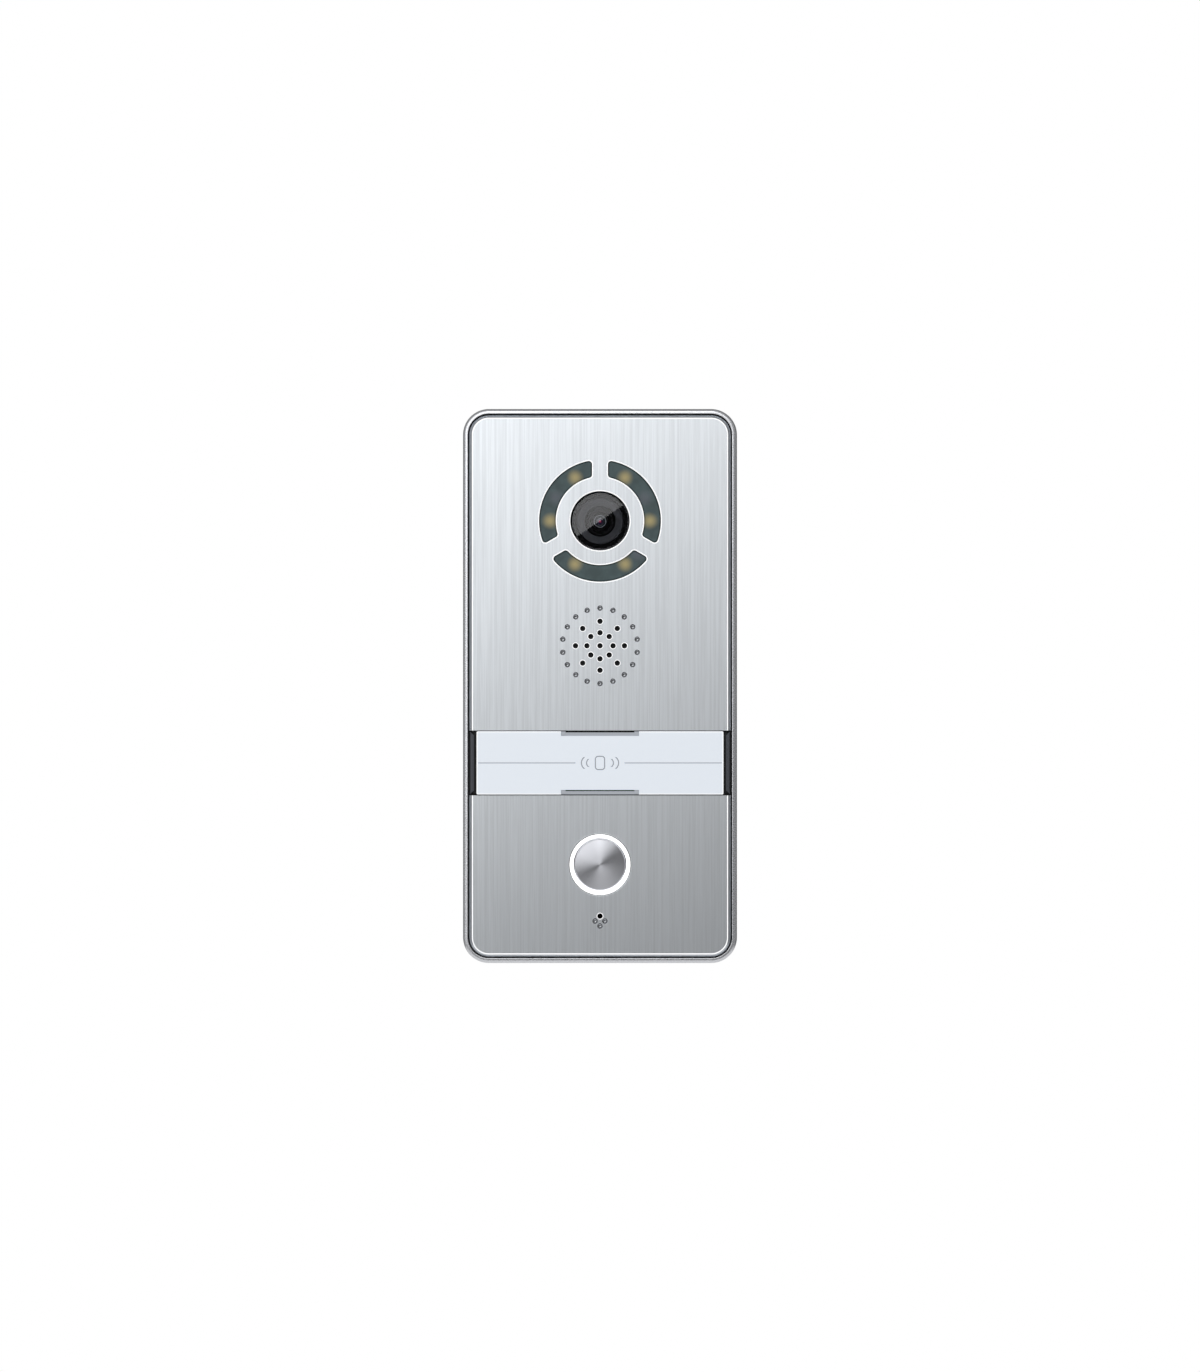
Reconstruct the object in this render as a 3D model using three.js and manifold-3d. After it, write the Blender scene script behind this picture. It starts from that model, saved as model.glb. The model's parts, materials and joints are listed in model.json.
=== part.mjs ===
// A surface-mounted door intercom panel: camera, speaker, nameplate, one call button and microphone.
//
// Sizes are millimetres. The panel is drawn lying on its back, as on a bench: x runs to the right,
// y runs up the wall and z runs out from the wall. The last group turns it upright, so that in the
// exported model +Z is up and the front faces -Y.
import * as THREE from "three";
import { mergeVertices } from "three/addons/utils/BufferGeometryUtils.js";
import Module from "manifold-3d";

const wasm = await Module();
wasm.setup();

// ---- Driving dimensions -----------------------------------------------------------------------------

const GAP = 0.3; // between two pieces that touch or fit
const TURN = 2 * Math.PI;
const FINE_SIDES = 30; // of a large round piece
const ROUND_SIDES = 20; // of a middling one
const SMALL_SIDES = 12; // of a screw, pin or small hole
const HOLE_SIDES = 10; // of a sound hole or dimple
const OVERSHOOT = 1; // of a cutter past the face it cuts, or of a post into its wall

// The front, from its top edge down.
const WIDTH = 90;
const CORNER_RADIUS = 8.5;
const TOP_TO_CAMERA = 36.8;
const CAMERA_TO_SPEAKER = 41;
const SPEAKER_TO_NAMEPLATE = 27.8;
const NAMEPLATE_HEIGHT = 21.3;
const NAMEPLATE_TO_BUTTON = 10.1; // to the edge of the button's guide
const BUTTON_TO_MICROPHONE = 5.9; // from the edge of the button's guide
const MICROPHONE_TO_BOTTOM = 13.9;

// The depth, from the wall out.
const WALL_GASKET_THICKNESS = 1.6;
const RECESS_DEPTH = 5;
const BACK_PANEL_THICKNESS = 2.5;
const BOARD_STANDOFF = 3.8;
const BOARD_THICKNESS = 1.6;
const PARTS_SPACE = 13.6; // from the main board to the chassis
const CHASSIS_THICKNESS = 2.2;
const PLATE_THICKNESS = 2;
const SIDE_SPLIT = 12.4; // where the frame's skirt ends and the rear housing shows

// Frame and plates.
const RIM_WIDTH = 1.65;
const RIM_ROUNDING = 1.2;
const RIM_DROP = 0.6; // the rim's crest, below the plates' faces
const LEDGE_WIDTH = 3;
const LEDGE_THICKNESS = 2.2;
const GROOVE_WIDTH = 0.45;
const PLATE_CHAMFER_WIDTH = 1.2;
const PLATE_CHAMFER_DROP = 1;

// Rear housing.
const HOUSING_INSET = 0.8;
const HOUSING_WALL = 2;
const HOUSING_ROUNDING = 1;
const REAR_RIM_INSET = 7;
const HOUSING_GASKET_THICKNESS = 0.8;
const BOSS_INSET = 11.5;
const BOSS_RADIUS = 3.2;
const BOSS_PAD_RADIUS = 8;
const COLUMN_RADIUS = 5;
const COLUMN_ABOVE_BOARD = 1;
const SCREW_RADIUS = 1.5;
const SCREW_HEAD_RADIUS = 2.9;
const SCREW_HEAD_HEIGHT = 2.2;
const SCREW_HEAD_SINK = 0.9;
const BOARD_PIN_RADIUS = 1.2;
const BOARD_POST_RADIUS = 2.5;
const BOARD_MARGIN = 1;

// Wall bracket.
const BRACKET_SHEET = 1.5;
const BRACKET_CLEARANCE = 1;
const CABLE_WINDOW_WIDTH = 40;
const CABLE_WINDOW_HEIGHT = 34;
const CABLE_WINDOW_Y = 26;
const WALL_SCREW_SPACING = 60;
const WALL_SCREW_SLOT_WIDTH = 4.4;
const WALL_SCREW_SLOT_LENGTH = 9;
const HOOK_WIDTH = 9;
const HOOK_X_INSET = 19;
const HOOK_Y_INSET = 30;
const HOOK_LIP = 1.8;
const LOCK_SCREW_RADIUS = 1.25;
const LOCK_SCREW_HEAD_RADIUS = 2.3;
const LOCK_SCREW_HEAD_HEIGHT = 1.8;
const LOCK_SCREW_DEPTH = 4.6;
const LOCK_SCREW_TIP = 1.2; // how far the screw reaches past the lug, with its clearance
const LUG_WIDTH = 10;

// Camera and its light windows.
const CAMERA_WINDOW_RADIUS = 9.5;
const BEZEL_STEP_RADIUS = 7.25;
const BEZEL_THROAT_RADIUS = 5.1;
const BARREL_RADIUS = 3.2;
const LENS_RADIUS = 1.8;
const CAMERA_TO_LIGHT = 5; // from the glass's edge to the light windows
const LIGHT_WIDTH = 5.5;
const LIGHT_BRIDGE_WIDTH = 5.2;
const LIGHT_CORNER_RADIUS = 1.1;
const LIGHT_CHIP_OFFSET = 1.9; // from the light windows' inner edge to the chips' centres
const LIGHT_CHIP_SIZE = 2.8;
const FILL_LIGHTS = 6;
const INFRARED_CHIP_SIZE = 2;
const INFRARED_ANGLES = [27, 152, -41].map((degrees) => (TURN * degrees) / 360);
const CAMERA_BOARD_WIDTH = 30;

// Speaker.
const SOUND_HOLE_RADIUS = 0.9;
const SOUND_INNER_RING = 4.28;
const SOUND_OUTER_RING = 8.03;
const SOUND_RING_HOLES = 8;
const DIMPLE_RING = 12.38;
const DIMPLE_COUNT = 18;
const DIMPLE_RADIUS = 0.88;
const DIMPLE_DEPTH = 0.7;
const SPEAKER_OPENING_RADIUS = 13.9;
const SPEAKER_RADIUS = 17.5;

// Nameplate.
const COVER_SIDE_MARGIN = 4.5; // from the panel's side to the cover's end
const COVER_DROP = 0.3; // the cover's face, below the plates' faces
const PRY_NOTCH_WIDTH = 25.6;
const PRY_NOTCH_HEIGHT = 1.6;
const PRY_NOTCH_DEPTH = 0.8;
const COVER_CORNER_RADIUS = 0.5;
const COVER_EDGE = 0.25; // the bevel round the cover's face
const CARD_THICKNESS = 0.3;
const CARD_FRAME = 1.5; // the cover's edge round the card
const RAIL_DROP = 0.8;
const READER_BOARD_THICKNESS = 1.3;

// Call button.
const BUTTON_TRAVEL = 1.2;
const CAP_RADIUS = 8.45;
const CAP_PROUD = 1.3;
const CAP_FACE_THICKNESS = 1.4;
const CAP_WALL = 1.2;
const CAP_CHAMFER = 0.6;
const LIGHT_RING_WIDTH = 1.15;
const LIGHT_RING_PROUD = 0.4;
const LIGHT_RING_FOOT = 1.3;
const GUIDE_WALL = 1.1;
const GUIDE_FLOOR_THICKNESS = 1.4;
const STEM_RADIUS = 1.8;
const STEM_FLANGE_RADIUS = 5;
const STEM_TAIL = 1.5;
const CLIP_THICKNESS = 0.8;
const CLIP_RADIUS = 3.6;
const SPRING_WIRE_RADIUS = 0.3;
const SPRING_RADIUS = 3.4;
const SPRING_TURNS = 5;
const SWITCH_SIZE = 7.4;
const SWITCH_HEIGHT = 4;
const ACTUATOR_RADIUS = 1.6;
const ACTUATOR_PROUD = 1.7;
const ACTUATOR_SUNK = 1.8; // how far it reaches into the switch

// Microphone.
const MICROPHONE_HOLE_PITCH = 1.6; // from the diamond's centre to each of its four points
const BOOT_RADIUS = 4.5;
const CAPSULE_RADIUS = 3;

// Tamper plunger.
const TAMPER_X = 26;
const TAMPER_Y = -20;
const TAMPER_ROD_RADIUS = 1.2;
const TAMPER_FOOT_RADIUS = 2;
const TAMPER_FOOT_LENGTH = 2.7;
const TAMPER_SWITCH_SIZE = 7;
const TAMPER_TRAVEL = 2.5;

// ---- Places that follow from them -------------------------------------------------------------------

const LIGHT_RING_INNER = CAP_RADIUS + GAP;
const LIGHT_RING_OUTER = LIGHT_RING_INNER + LIGHT_RING_WIDTH;
const GUIDE_INNER = LIGHT_RING_OUTER + LIGHT_RING_FOOT + GAP;
const GUIDE_OUTER = GUIDE_INNER + GUIDE_WALL;
const HEIGHT =
  TOP_TO_CAMERA + CAMERA_TO_SPEAKER + SPEAKER_TO_NAMEPLATE + NAMEPLATE_HEIGHT +
  NAMEPLATE_TO_BUTTON + 2 * GUIDE_OUTER + BUTTON_TO_MICROPHONE + MICROPHONE_TO_BOTTOM;
const CAMERA_Y = HEIGHT / 2 - TOP_TO_CAMERA;
const SPEAKER_Y = CAMERA_Y - CAMERA_TO_SPEAKER;
const NAMEPLATE_TOP = SPEAKER_Y - SPEAKER_TO_NAMEPLATE;
const NAMEPLATE_BOTTOM = NAMEPLATE_TOP - NAMEPLATE_HEIGHT;
const NAMEPLATE_Y = (NAMEPLATE_TOP + NAMEPLATE_BOTTOM) / 2;
const BUTTON_Y = NAMEPLATE_BOTTOM - NAMEPLATE_TO_BUTTON - GUIDE_OUTER;
const MICROPHONE_Y = BUTTON_Y - GUIDE_OUTER - BUTTON_TO_MICROPHONE;
const LIGHT_INNER_RADIUS = CAMERA_WINDOW_RADIUS + CAMERA_TO_LIGHT;
const LIGHT_OUTER_RADIUS = LIGHT_INNER_RADIUS + LIGHT_WIDTH;
const LIGHT_CHIP_RING = LIGHT_INNER_RADIUS + LIGHT_CHIP_OFFSET;

const RIM_BACK = WALL_GASKET_THICKNESS + GAP;
const PANEL_BACK = RECESS_DEPTH;
const PANEL_FRONT = PANEL_BACK + BACK_PANEL_THICKNESS;
const BOARD_BACK = PANEL_FRONT + BOARD_STANDOFF;
const BOARD_FRONT = BOARD_BACK + BOARD_THICKNESS;
const CHASSIS_BACK = BOARD_FRONT + PARTS_SPACE;
const CHASSIS_FRONT = CHASSIS_BACK + CHASSIS_THICKNESS;
const PLATE_BACK = CHASSIS_FRONT + GAP;
const PLATE_FRONT = PLATE_BACK + PLATE_THICKNESS;
const LEDGE_FRONT = CHASSIS_BACK - GAP;
const LEDGE_BACK = LEDGE_FRONT - LEDGE_THICKNESS;
const SPIGOT_FRONT = LEDGE_BACK - 2 * GAP - HOUSING_GASKET_THICKNESS;
const COLUMN_FRONT = BOARD_FRONT + COLUMN_ABOVE_BOARD;

const RIM_INNER_INSET = RIM_WIDTH;
const PLATE_INSET = RIM_WIDTH + GROOVE_WIDTH;
const SPIGOT_INSET = RIM_WIDTH + GAP;
const CAVITY_INSET = SPIGOT_INSET + HOUSING_WALL;
const BOSS_X = WIDTH / 2 - BOSS_INSET;
const BOSS_Y = HEIGHT / 2 - BOSS_INSET;
const BOARD_WIDTH = WIDTH - 2 * (CAVITY_INSET + BOARD_MARGIN);
const BOARD_HEIGHT = 2 * (BOSS_Y - COLUMN_RADIUS - BOARD_MARGIN);
const BOARD_PIN_X = BOARD_WIDTH / 2 - 4;
const BOARD_PIN_Y = BOARD_HEIGHT / 2 - 6;
const BOARD_PINS = [[1, 1], [-1, 1], [-1, -1], [1, -1]].map(
  ([sx, sy]) => [sx * BOARD_PIN_X, sy * BOARD_PIN_Y],
);
const CORNERS = [[1, 1], [-1, 1], [-1, -1], [1, -1]].map(([sx, sy]) => [sx * BOSS_X, sy * BOSS_Y]);
const HOOKS = [[1, 1], [-1, 1], [-1, -1], [1, -1]].map(
  ([sx, sy]) => [sx * (WIDTH / 2 - HOOK_X_INSET), sy * (HEIGHT / 2 - HOOK_Y_INSET)],
);

const LUG_Y = REAR_RIM_INSET + BRACKET_CLEARANCE - HEIGHT / 2 + BRACKET_SHEET / 2;
const CAP_FRONT = PLATE_FRONT + CAP_PROUD;
const CAP_CEILING = CAP_FRONT - CAP_FACE_THICKNESS;
const BUTTON_HOLE_RADIUS = LIGHT_RING_OUTER + GAP;
const SWITCH_BACK = BOARD_FRONT + GAP;
const SWITCH_FRONT = SWITCH_BACK + SWITCH_HEIGHT;
const ACTUATOR_FRONT = SWITCH_FRONT + ACTUATOR_PROUD;
const ACTUATOR_BACK = SWITCH_FRONT - ACTUATOR_SUNK;
const STEM_BACK = ACTUATOR_FRONT + GAP;
const CLIP_BACK = STEM_BACK + STEM_TAIL;
const GUIDE_FLOOR_BACK = CLIP_BACK + CLIP_THICKNESS + GAP;
const GUIDE_FLOOR_FRONT = GUIDE_FLOOR_BACK + GUIDE_FLOOR_THICKNESS;
const CAP_BACK = GUIDE_FLOOR_FRONT + GAP + BUTTON_TRAVEL;
const STEM_FLANGE_FRONT = CAP_CEILING - GAP;
const STEM_FLANGE_BACK = STEM_FLANGE_FRONT - 1;

// ---- Solids -----------------------------------------------------------------------------------------

// A closed three.js geometry as a solid that can be joined and cut.
function solidOf(geometry) {
  const bare = geometry.clone();
  bare.deleteAttribute("normal");
  bare.deleteAttribute("uv");
  const merged = mergeVertices(bare, 1e-4);
  const mesh = new wasm.Mesh({
    numProp: 3,
    vertProperties: merged.attributes.position.array,
    triVerts: new Uint32Array(merged.index.array),
  });
  return new wasm.Manifold(mesh);
}

function joined(...solids) {
  return solids.reduce((whole, next) => whole.add(next));
}

function cut(solid, ...cutters) {
  return cutters.reduce((rest, cutter) => rest.subtract(cutter), solid);
}

// A rounded rectangle about the centre.
function roundedOutline(width, height, radius) {
  const x = width / 2 - radius;
  const y = height / 2 - radius;
  const outline = new THREE.Shape();
  outline.absarc(x, y, radius, 0, TURN / 4);
  outline.absarc(-x, y, radius, TURN / 4, TURN / 2);
  outline.absarc(-x, -y, radius, TURN / 2, (3 * TURN) / 4);
  outline.absarc(x, -y, radius, (3 * TURN) / 4, TURN);
  return outline;
}

// The panel's own outline, drawn in by inset on every side.
function panelOutline(inset) {
  return roundedOutline(WIDTH - 2 * inset, HEIGHT - 2 * inset, Math.max(CORNER_RADIUS - inset, 1));
}

function slab(outline, from, to, arcSteps = 3) {
  const settings = { depth: to - from, bevelEnabled: false, curveSegments: arcSteps };
  return solidOf(new THREE.ExtrudeGeometry(outline, settings).translate(0, 0, from));
}

// A slab whose front edge is chamfered, or rounded where it has more than one step.
function edgedSlab(outline, from, to, edge, drop, steps) {
  const settings = {
    depth: to - drop - from,
    bevelThickness: drop,
    bevelSize: edge,
    bevelOffset: -edge,
    bevelSegments: steps,
    curveSegments: 3,
  };
  const whole = solidOf(new THREE.ExtrudeGeometry(outline, settings).translate(0, 0, from));
  return whole.subtract(block(2 * WIDTH, 2 * HEIGHT, from - 2 * drop, from));
}

function block(width, height, from, to, x = 0, y = 0) {
  return solidOf(new THREE.BoxGeometry(width, height, to - from).translate(x, y, (from + to) / 2));
}

function disc(radius, from, to, x = 0, y = 0, sides = SMALL_SIDES) {
  return taperedDisc(radius, radius, from, to, x, y, sides);
}

function taperedDisc(backRadius, frontRadius, from, to, x, y, sides) {
  const geometry = new THREE.CylinderGeometry(frontRadius, backRadius, to - from, sides);
  return solidOf(geometry.rotateX(TURN / 4).translate(x, y, (from + to) / 2));
}

// A piece turned on a lathe about the z axis, from a closed profile of [radius, z] points.
function turned(profile, sides) {
  const area = profile.reduce((sum, [r, z], i) => {
    const [nextR, nextZ] = profile[(i + 1) % profile.length];
    return sum + r * nextZ - nextR * z;
  }, 0);
  const points = (area > 0 ? profile : [...profile].reverse()).map(([r, z]) => new THREE.Vector2(r, z));
  if (profile.every(([r]) => r > 0)) points.push(points[0].clone());
  return solidOf(new THREE.LatheGeometry(points, sides).rotateX(TURN / 4));
}

function washer(inner, outer, from, to, sides = FINE_SIDES) {
  return turned([[inner, from], [outer, from], [outer, to], [inner, to]], sides);
}

function ringOf(outerOutline, innerOutline, from, to) {
  return cut(slab(outerOutline, from, to), slab(innerOutline, from - OVERSHOOT, to + OVERSHOOT));
}

// A rod of round section along a curve.
function rodAlong(curve, radius, sides, steps) {
  const section = new THREE.Shape();
  for (let i = 0; i < sides; i++) {
    const angle = (TURN * i) / sides;
    const point = [radius * Math.cos(angle), radius * Math.sin(angle)];
    if (i === 0) section.moveTo(...point);
    else section.lineTo(...point);
  }
  section.closePath();
  return solidOf(new THREE.ExtrudeGeometry(section, { steps, extrudePath: curve }));
}

// ---- Finishes and placing ---------------------------------------------------------------------------

const FINISHES = {
  brushedPlate: { color: 0xc6cbd0, roughness: 0.42, metalness: 0.85 },
  silverPaint: { color: 0xd9dce0, roughness: 0.45, metalness: 0.35 },
  blackPlastic: { color: 0x141516, roughness: 0.6, metalness: 0 },
  darkPlastic: { color: 0x303336, roughness: 0.65, metalness: 0 },
  whitePlastic: { color: 0xe6ecf3, roughness: 0.35, metalness: 0 },
  glowPlastic: { color: 0xffffff, roughness: 0.3, metalness: 0 },
  tintedPlastic: { color: 0x465556, roughness: 0.25, metalness: 0 },
  darkGlass: { color: 0x101418, roughness: 0.05, metalness: 0 },
  lensGlass: { color: 0x2a1f33, roughness: 0.03, metalness: 0 },
  spunMetal: { color: 0xd2d5d8, roughness: 0.3, metalness: 0.95 },
  steel: { color: 0x9ba0a5, roughness: 0.35, metalness: 1 },
  rubber: { color: 0x1c1c1d, roughness: 0.9, metalness: 0 },
  foam: { color: 0x26282a, roughness: 0.95, metalness: 0 },
  boardGreen: { color: 0x1f5a38, roughness: 0.5, metalness: 0 },
  boardWhite: { color: 0xdcdcd6, roughness: 0.5, metalness: 0 },
  lampYellow: { color: 0xe9d27a, roughness: 0.4, metalness: 0 },
  lampViolet: { color: 0x4a3560, roughness: 0.3, metalness: 0 },
  amberFilm: { color: 0xb9772c, roughness: 0.4, metalness: 0 },
  coneBlack: { color: 0x1a1b1d, roughness: 0.8, metalness: 0 },
  cardPaper: { color: 0xeef1f4, roughness: 0.7, metalness: 0 },
  terminalGreen: { color: 0x2f8a4a, roughness: 0.5, metalness: 0 },
  leadRed: { color: 0x8a2420, roughness: 0.6, metalness: 0 },
};

function piece(name, solid, finish) {
  const { vertProperties, triVerts } = solid.getMesh();
  const geometry = new THREE.BufferGeometry();
  geometry.setAttribute("position", new THREE.BufferAttribute(vertProperties, 3));
  geometry.setIndex(new THREE.BufferAttribute(triVerts, 1));
  geometry.computeVertexNormals();
  const mesh = new THREE.Mesh(geometry, new THREE.MeshStandardMaterial(FINISHES[finish]));
  mesh.name = name;
  return mesh;
}

function groupAt(x, y, ...meshes) {
  const group = new THREE.Group();
  group.position.set(x, y, 0);
  group.add(...meshes);
  return group;
}

// ---- Openings that several pieces share -------------------------------------------------------------

// One light window's outline, about the camera's axis. It is a ring sector with parallel-sided
// bridges at each end and rounded corners. Clearance draws it in on every side.
function lightOutline(middleAngle, clearance) {
  const inner = LIGHT_INNER_RADIUS + clearance;
  const outer = LIGHT_OUTER_RADIUS - clearance;
  const rounding = LIGHT_CORNER_RADIUS - clearance / 2;
  const side = LIGHT_BRIDGE_WIDTH / 2 + clearance + rounding;
  const toBridge = TURN / 6;
  const outerTilt = Math.asin(side / (outer - rounding));
  const innerTilt = Math.asin(side / (inner + rounding));
  const points = [];
  const arc = (cx, cy, radius, from, to, steps) => {
    for (let i = 0; i <= steps; i++) {
      const angle = from + ((to - from) * i) / steps;
      points.push(new THREE.Vector2(cx + radius * Math.cos(angle), cy + radius * Math.sin(angle)));
    }
  };
  const corner = (distance, angle, from, to) =>
    arc(distance * Math.cos(angle), distance * Math.sin(angle), rounding, from, to, 2);
  const low = middleAngle - toBridge;
  const high = middleAngle + toBridge;
  corner(outer - rounding, low + outerTilt, low - TURN / 4, low + outerTilt);
  arc(0, 0, outer, low + outerTilt, high - outerTilt, 8);
  corner(outer - rounding, high - outerTilt, high - outerTilt, high + TURN / 4);
  corner(inner + rounding, high - innerTilt, high + TURN / 4, high - innerTilt + TURN / 2);
  arc(0, 0, inner, high - innerTilt, low + innerTilt, 7);
  corner(inner + rounding, low + innerTilt, low + innerTilt - TURN / 2, low - TURN / 4);
  return new THREE.Shape(points.filter((p, i) => i === 0 || p.distanceTo(points[i - 1]) > 1e-3));
}

const LIGHT_WINDOWS = {
  light_window_right: TURN / 12,
  light_window_left: (5 * TURN) / 12,
  light_window_bottom: (9 * TURN) / 12,
};

function lightOpenings(from, to) {
  const cutters = Object.values(LIGHT_WINDOWS).map((angle) => slab(lightOutline(angle, 0), from, to));
  return joined(...cutters).translate(0, CAMERA_Y, 0);
}

function ringOfCentres(radius, count, firstAngle, y) {
  return Array.from({ length: count }, (_, i) => {
    const angle = firstAngle + (TURN * i) / count;
    return [radius * Math.cos(angle), y + radius * Math.sin(angle)];
  });
}

// ---- Casing -----------------------------------------------------------------------------------------

function wallBracket() {
  const clear = REAR_RIM_INSET + BRACKET_CLEARANCE;
  const width = WIDTH - 2 * clear;
  const height = HEIGHT - 2 * clear;
  let bracket = slab(roundedOutline(width, height, 3), 0, BRACKET_SHEET, 2);
  const slots = [
    [-WALL_SCREW_SPACING / 2, 0], [WALL_SCREW_SPACING / 2, 0],
    [0, height / 2 - 12], [0, 14 - height / 2],
  ];
  const slotOutline = roundedOutline(
    WALL_SCREW_SLOT_LENGTH, WALL_SCREW_SLOT_WIDTH, WALL_SCREW_SLOT_WIDTH / 2 - 0.01,
  );
  for (const [x, y] of slots) {
    const slot = slab(slotOutline, -OVERSHOOT, BRACKET_SHEET + OVERSHOOT, 2);
    bracket = bracket.subtract(slot.translate(x, y, 0));
  }
  const window = roundedOutline(CABLE_WINDOW_WIDTH, CABLE_WINDOW_HEIGHT, 3);
  bracket = cut(
    bracket,
    slab(window, -OVERSHOOT, BRACKET_SHEET + OVERSHOOT, 1).translate(0, CABLE_WINDOW_Y, 0),
    disc(TAMPER_FOOT_RADIUS + 2 * GAP, -OVERSHOOT, BRACKET_SHEET + OVERSHOOT, TAMPER_X, TAMPER_Y),
  );
  for (const [x, y] of HOOKS) bracket = bracket.add(hook().translate(x, y, 0));
  const lug = block(LUG_WIDTH, BRACKET_SHEET, 0, LOCK_SCREW_DEPTH + LOCK_SCREW_RADIUS + 1.2, 0, LUG_Y);
  return cut(joined(bracket, lug), lockScrewHole(LOCK_SCREW_RADIUS + GAP, LUG_Y - 2, LUG_Y + 2));
}

// A folded tab whose lip stands up in front of the housing's back panel.
function hook() {
  const lipBack = PANEL_FRONT + GAP;
  const neck = block(HOOK_WIDTH, BRACKET_SHEET, 0, lipBack + BRACKET_SHEET, 0, -GAP - BRACKET_SHEET / 2);
  const lipHeight = GAP + BRACKET_SHEET + HOOK_LIP;
  const lip = block(HOOK_WIDTH, lipHeight, lipBack, lipBack + BRACKET_SHEET, 0, HOOK_LIP - lipHeight / 2);
  return joined(neck, lip);
}

// The slot that a hook comes through. Its top edge is the hook's own y, and it is tall enough below
// for the panel to be lifted off the hook.
function hookSlot() {
  const height = BRACKET_SHEET + HOOK_LIP + 3 * GAP + 1;
  return block(HOOK_WIDTH + 2 * GAP + 1, height, PANEL_BACK - 1, PANEL_FRONT + 1, 0, -height / 2);
}

function lockScrewHole(radius, fromY, toY) {
  const geometry = new THREE.CylinderGeometry(radius, radius, toY - fromY, SMALL_SIDES);
  return solidOf(geometry.translate(0, (fromY + toY) / 2, LOCK_SCREW_DEPTH));
}

function wallGasket() {
  return ringOf(
    panelOutline(HOUSING_INSET + 1.2), panelOutline(REAR_RIM_INSET - 1), 0, WALL_GASKET_THICKNESS,
  );
}

function rearHousing() {
  const bodyFront = SIDE_SPLIT - GAP;
  const upturned = edgedSlab(
    panelOutline(HOUSING_INSET), -bodyFront, -RIM_BACK, HOUSING_ROUNDING, HOUSING_ROUNDING, 1,
  );
  const body = upturned.rotate([180, 0, 0]);
  const spigot = slab(panelOutline(SPIGOT_INSET), bodyFront - OVERSHOOT, SPIGOT_FRONT);
  let housing = cut(
    joined(body, spigot),
    slab(panelOutline(CAVITY_INSET), PANEL_FRONT, SPIGOT_FRONT + OVERSHOOT),
    slab(panelOutline(REAR_RIM_INSET), 0, PANEL_BACK),
  );
  for (const [x, y] of CORNERS) {
    housing = housing.add(disc(COLUMN_RADIUS, PANEL_BACK, COLUMN_FRONT, x, y));
    const headFront = PANEL_BACK + SCREW_HEAD_SINK + SCREW_HEAD_HEIGHT + GAP;
    housing = cut(
      housing,
      disc(SCREW_HEAD_RADIUS + GAP, 0, headFront, x, y),
      disc(SCREW_RADIUS + GAP, 0, COLUMN_FRONT + OVERSHOOT, x, y),
    );
  }
  for (const [x, y] of BOARD_PINS) {
    housing = joined(
      housing,
      disc(BOARD_POST_RADIUS, PANEL_FRONT - OVERSHOOT, BOARD_BACK - GAP, x, y),
      disc(BOARD_PIN_RADIUS, PANEL_FRONT, BOARD_FRONT + 0.8, x, y, HOLE_SIDES),
    );
  }
  for (const [x, y] of HOOKS) housing = housing.subtract(hookSlot().translate(x, y, 0));
  const window = roundedOutline(CABLE_WINDOW_WIDTH, CABLE_WINDOW_HEIGHT, 3);
  const bottom = HOUSING_INSET - HEIGHT / 2;
  const headTop = bottom + LOCK_SCREW_HEAD_HEIGHT + 2 * GAP;
  return cut(
    housing,
    slab(window, 0, PANEL_FRONT + OVERSHOOT, 1).translate(0, CABLE_WINDOW_Y, 0),
    disc(TAMPER_FOOT_RADIUS + GAP + 0.1, 0, PANEL_FRONT + OVERSHOOT, TAMPER_X, TAMPER_Y),
    block(
      LUG_WIDTH + 2 * GAP, BRACKET_SHEET + 2 * LOCK_SCREW_TIP, 0, PANEL_FRONT + OVERSHOOT,
      0, LUG_Y + LOCK_SCREW_TIP / 2,
    ),
    lockScrewHole(LOCK_SCREW_HEAD_RADIUS + GAP, bottom - OVERSHOOT, headTop),
    lockScrewHole(LOCK_SCREW_RADIUS + GAP, bottom, LUG_Y),
  );
}

function lockScrew() {
  const bottom = HOUSING_INSET - HEIGHT / 2;
  const headFrom = bottom + GAP;
  const headTo = headFrom + LOCK_SCREW_HEAD_HEIGHT;
  const tip = LUG_Y + BRACKET_SHEET / 2 + LOCK_SCREW_TIP - GAP;
  const profile = [
    [0, headFrom + 0.9], [1, headFrom + 0.9], [1, headFrom], [LOCK_SCREW_HEAD_RADIUS, headFrom],
    [LOCK_SCREW_HEAD_RADIUS, headTo], [LOCK_SCREW_RADIUS, headTo], [LOCK_SCREW_RADIUS, tip - 0.6],
    [0.5, tip], [0, tip],
  ];
  return turned(profile, SMALL_SIDES).rotate([-90, 0, 0]).translate(0, 0, LOCK_SCREW_DEPTH);
}

function housingScrew() {
  const headBack = PANEL_BACK + SCREW_HEAD_SINK;
  const headFront = headBack + SCREW_HEAD_HEIGHT;
  const tip = LEDGE_BACK - 0.5;
  const recessed = 1.2;
  return turned(
    [
      [0, headBack + recessed], [1.1, headBack + recessed], [1.1, headBack],
      [SCREW_HEAD_RADIUS - 0.4, headBack],
      [SCREW_HEAD_RADIUS, headBack + 0.6], [SCREW_HEAD_RADIUS, headFront], [SCREW_RADIUS, headFront],
      [SCREW_RADIUS, tip - 0.8], [0.6, tip], [0, tip],
    ],
    SMALL_SIDES,
  );
}

function housingGasket() {
  const front = LEDGE_BACK - GAP;
  return ringOf(
    panelOutline(SPIGOT_INSET), panelOutline(CAVITY_INSET), front - HOUSING_GASKET_THICKNESS, front,
  );
}

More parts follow.
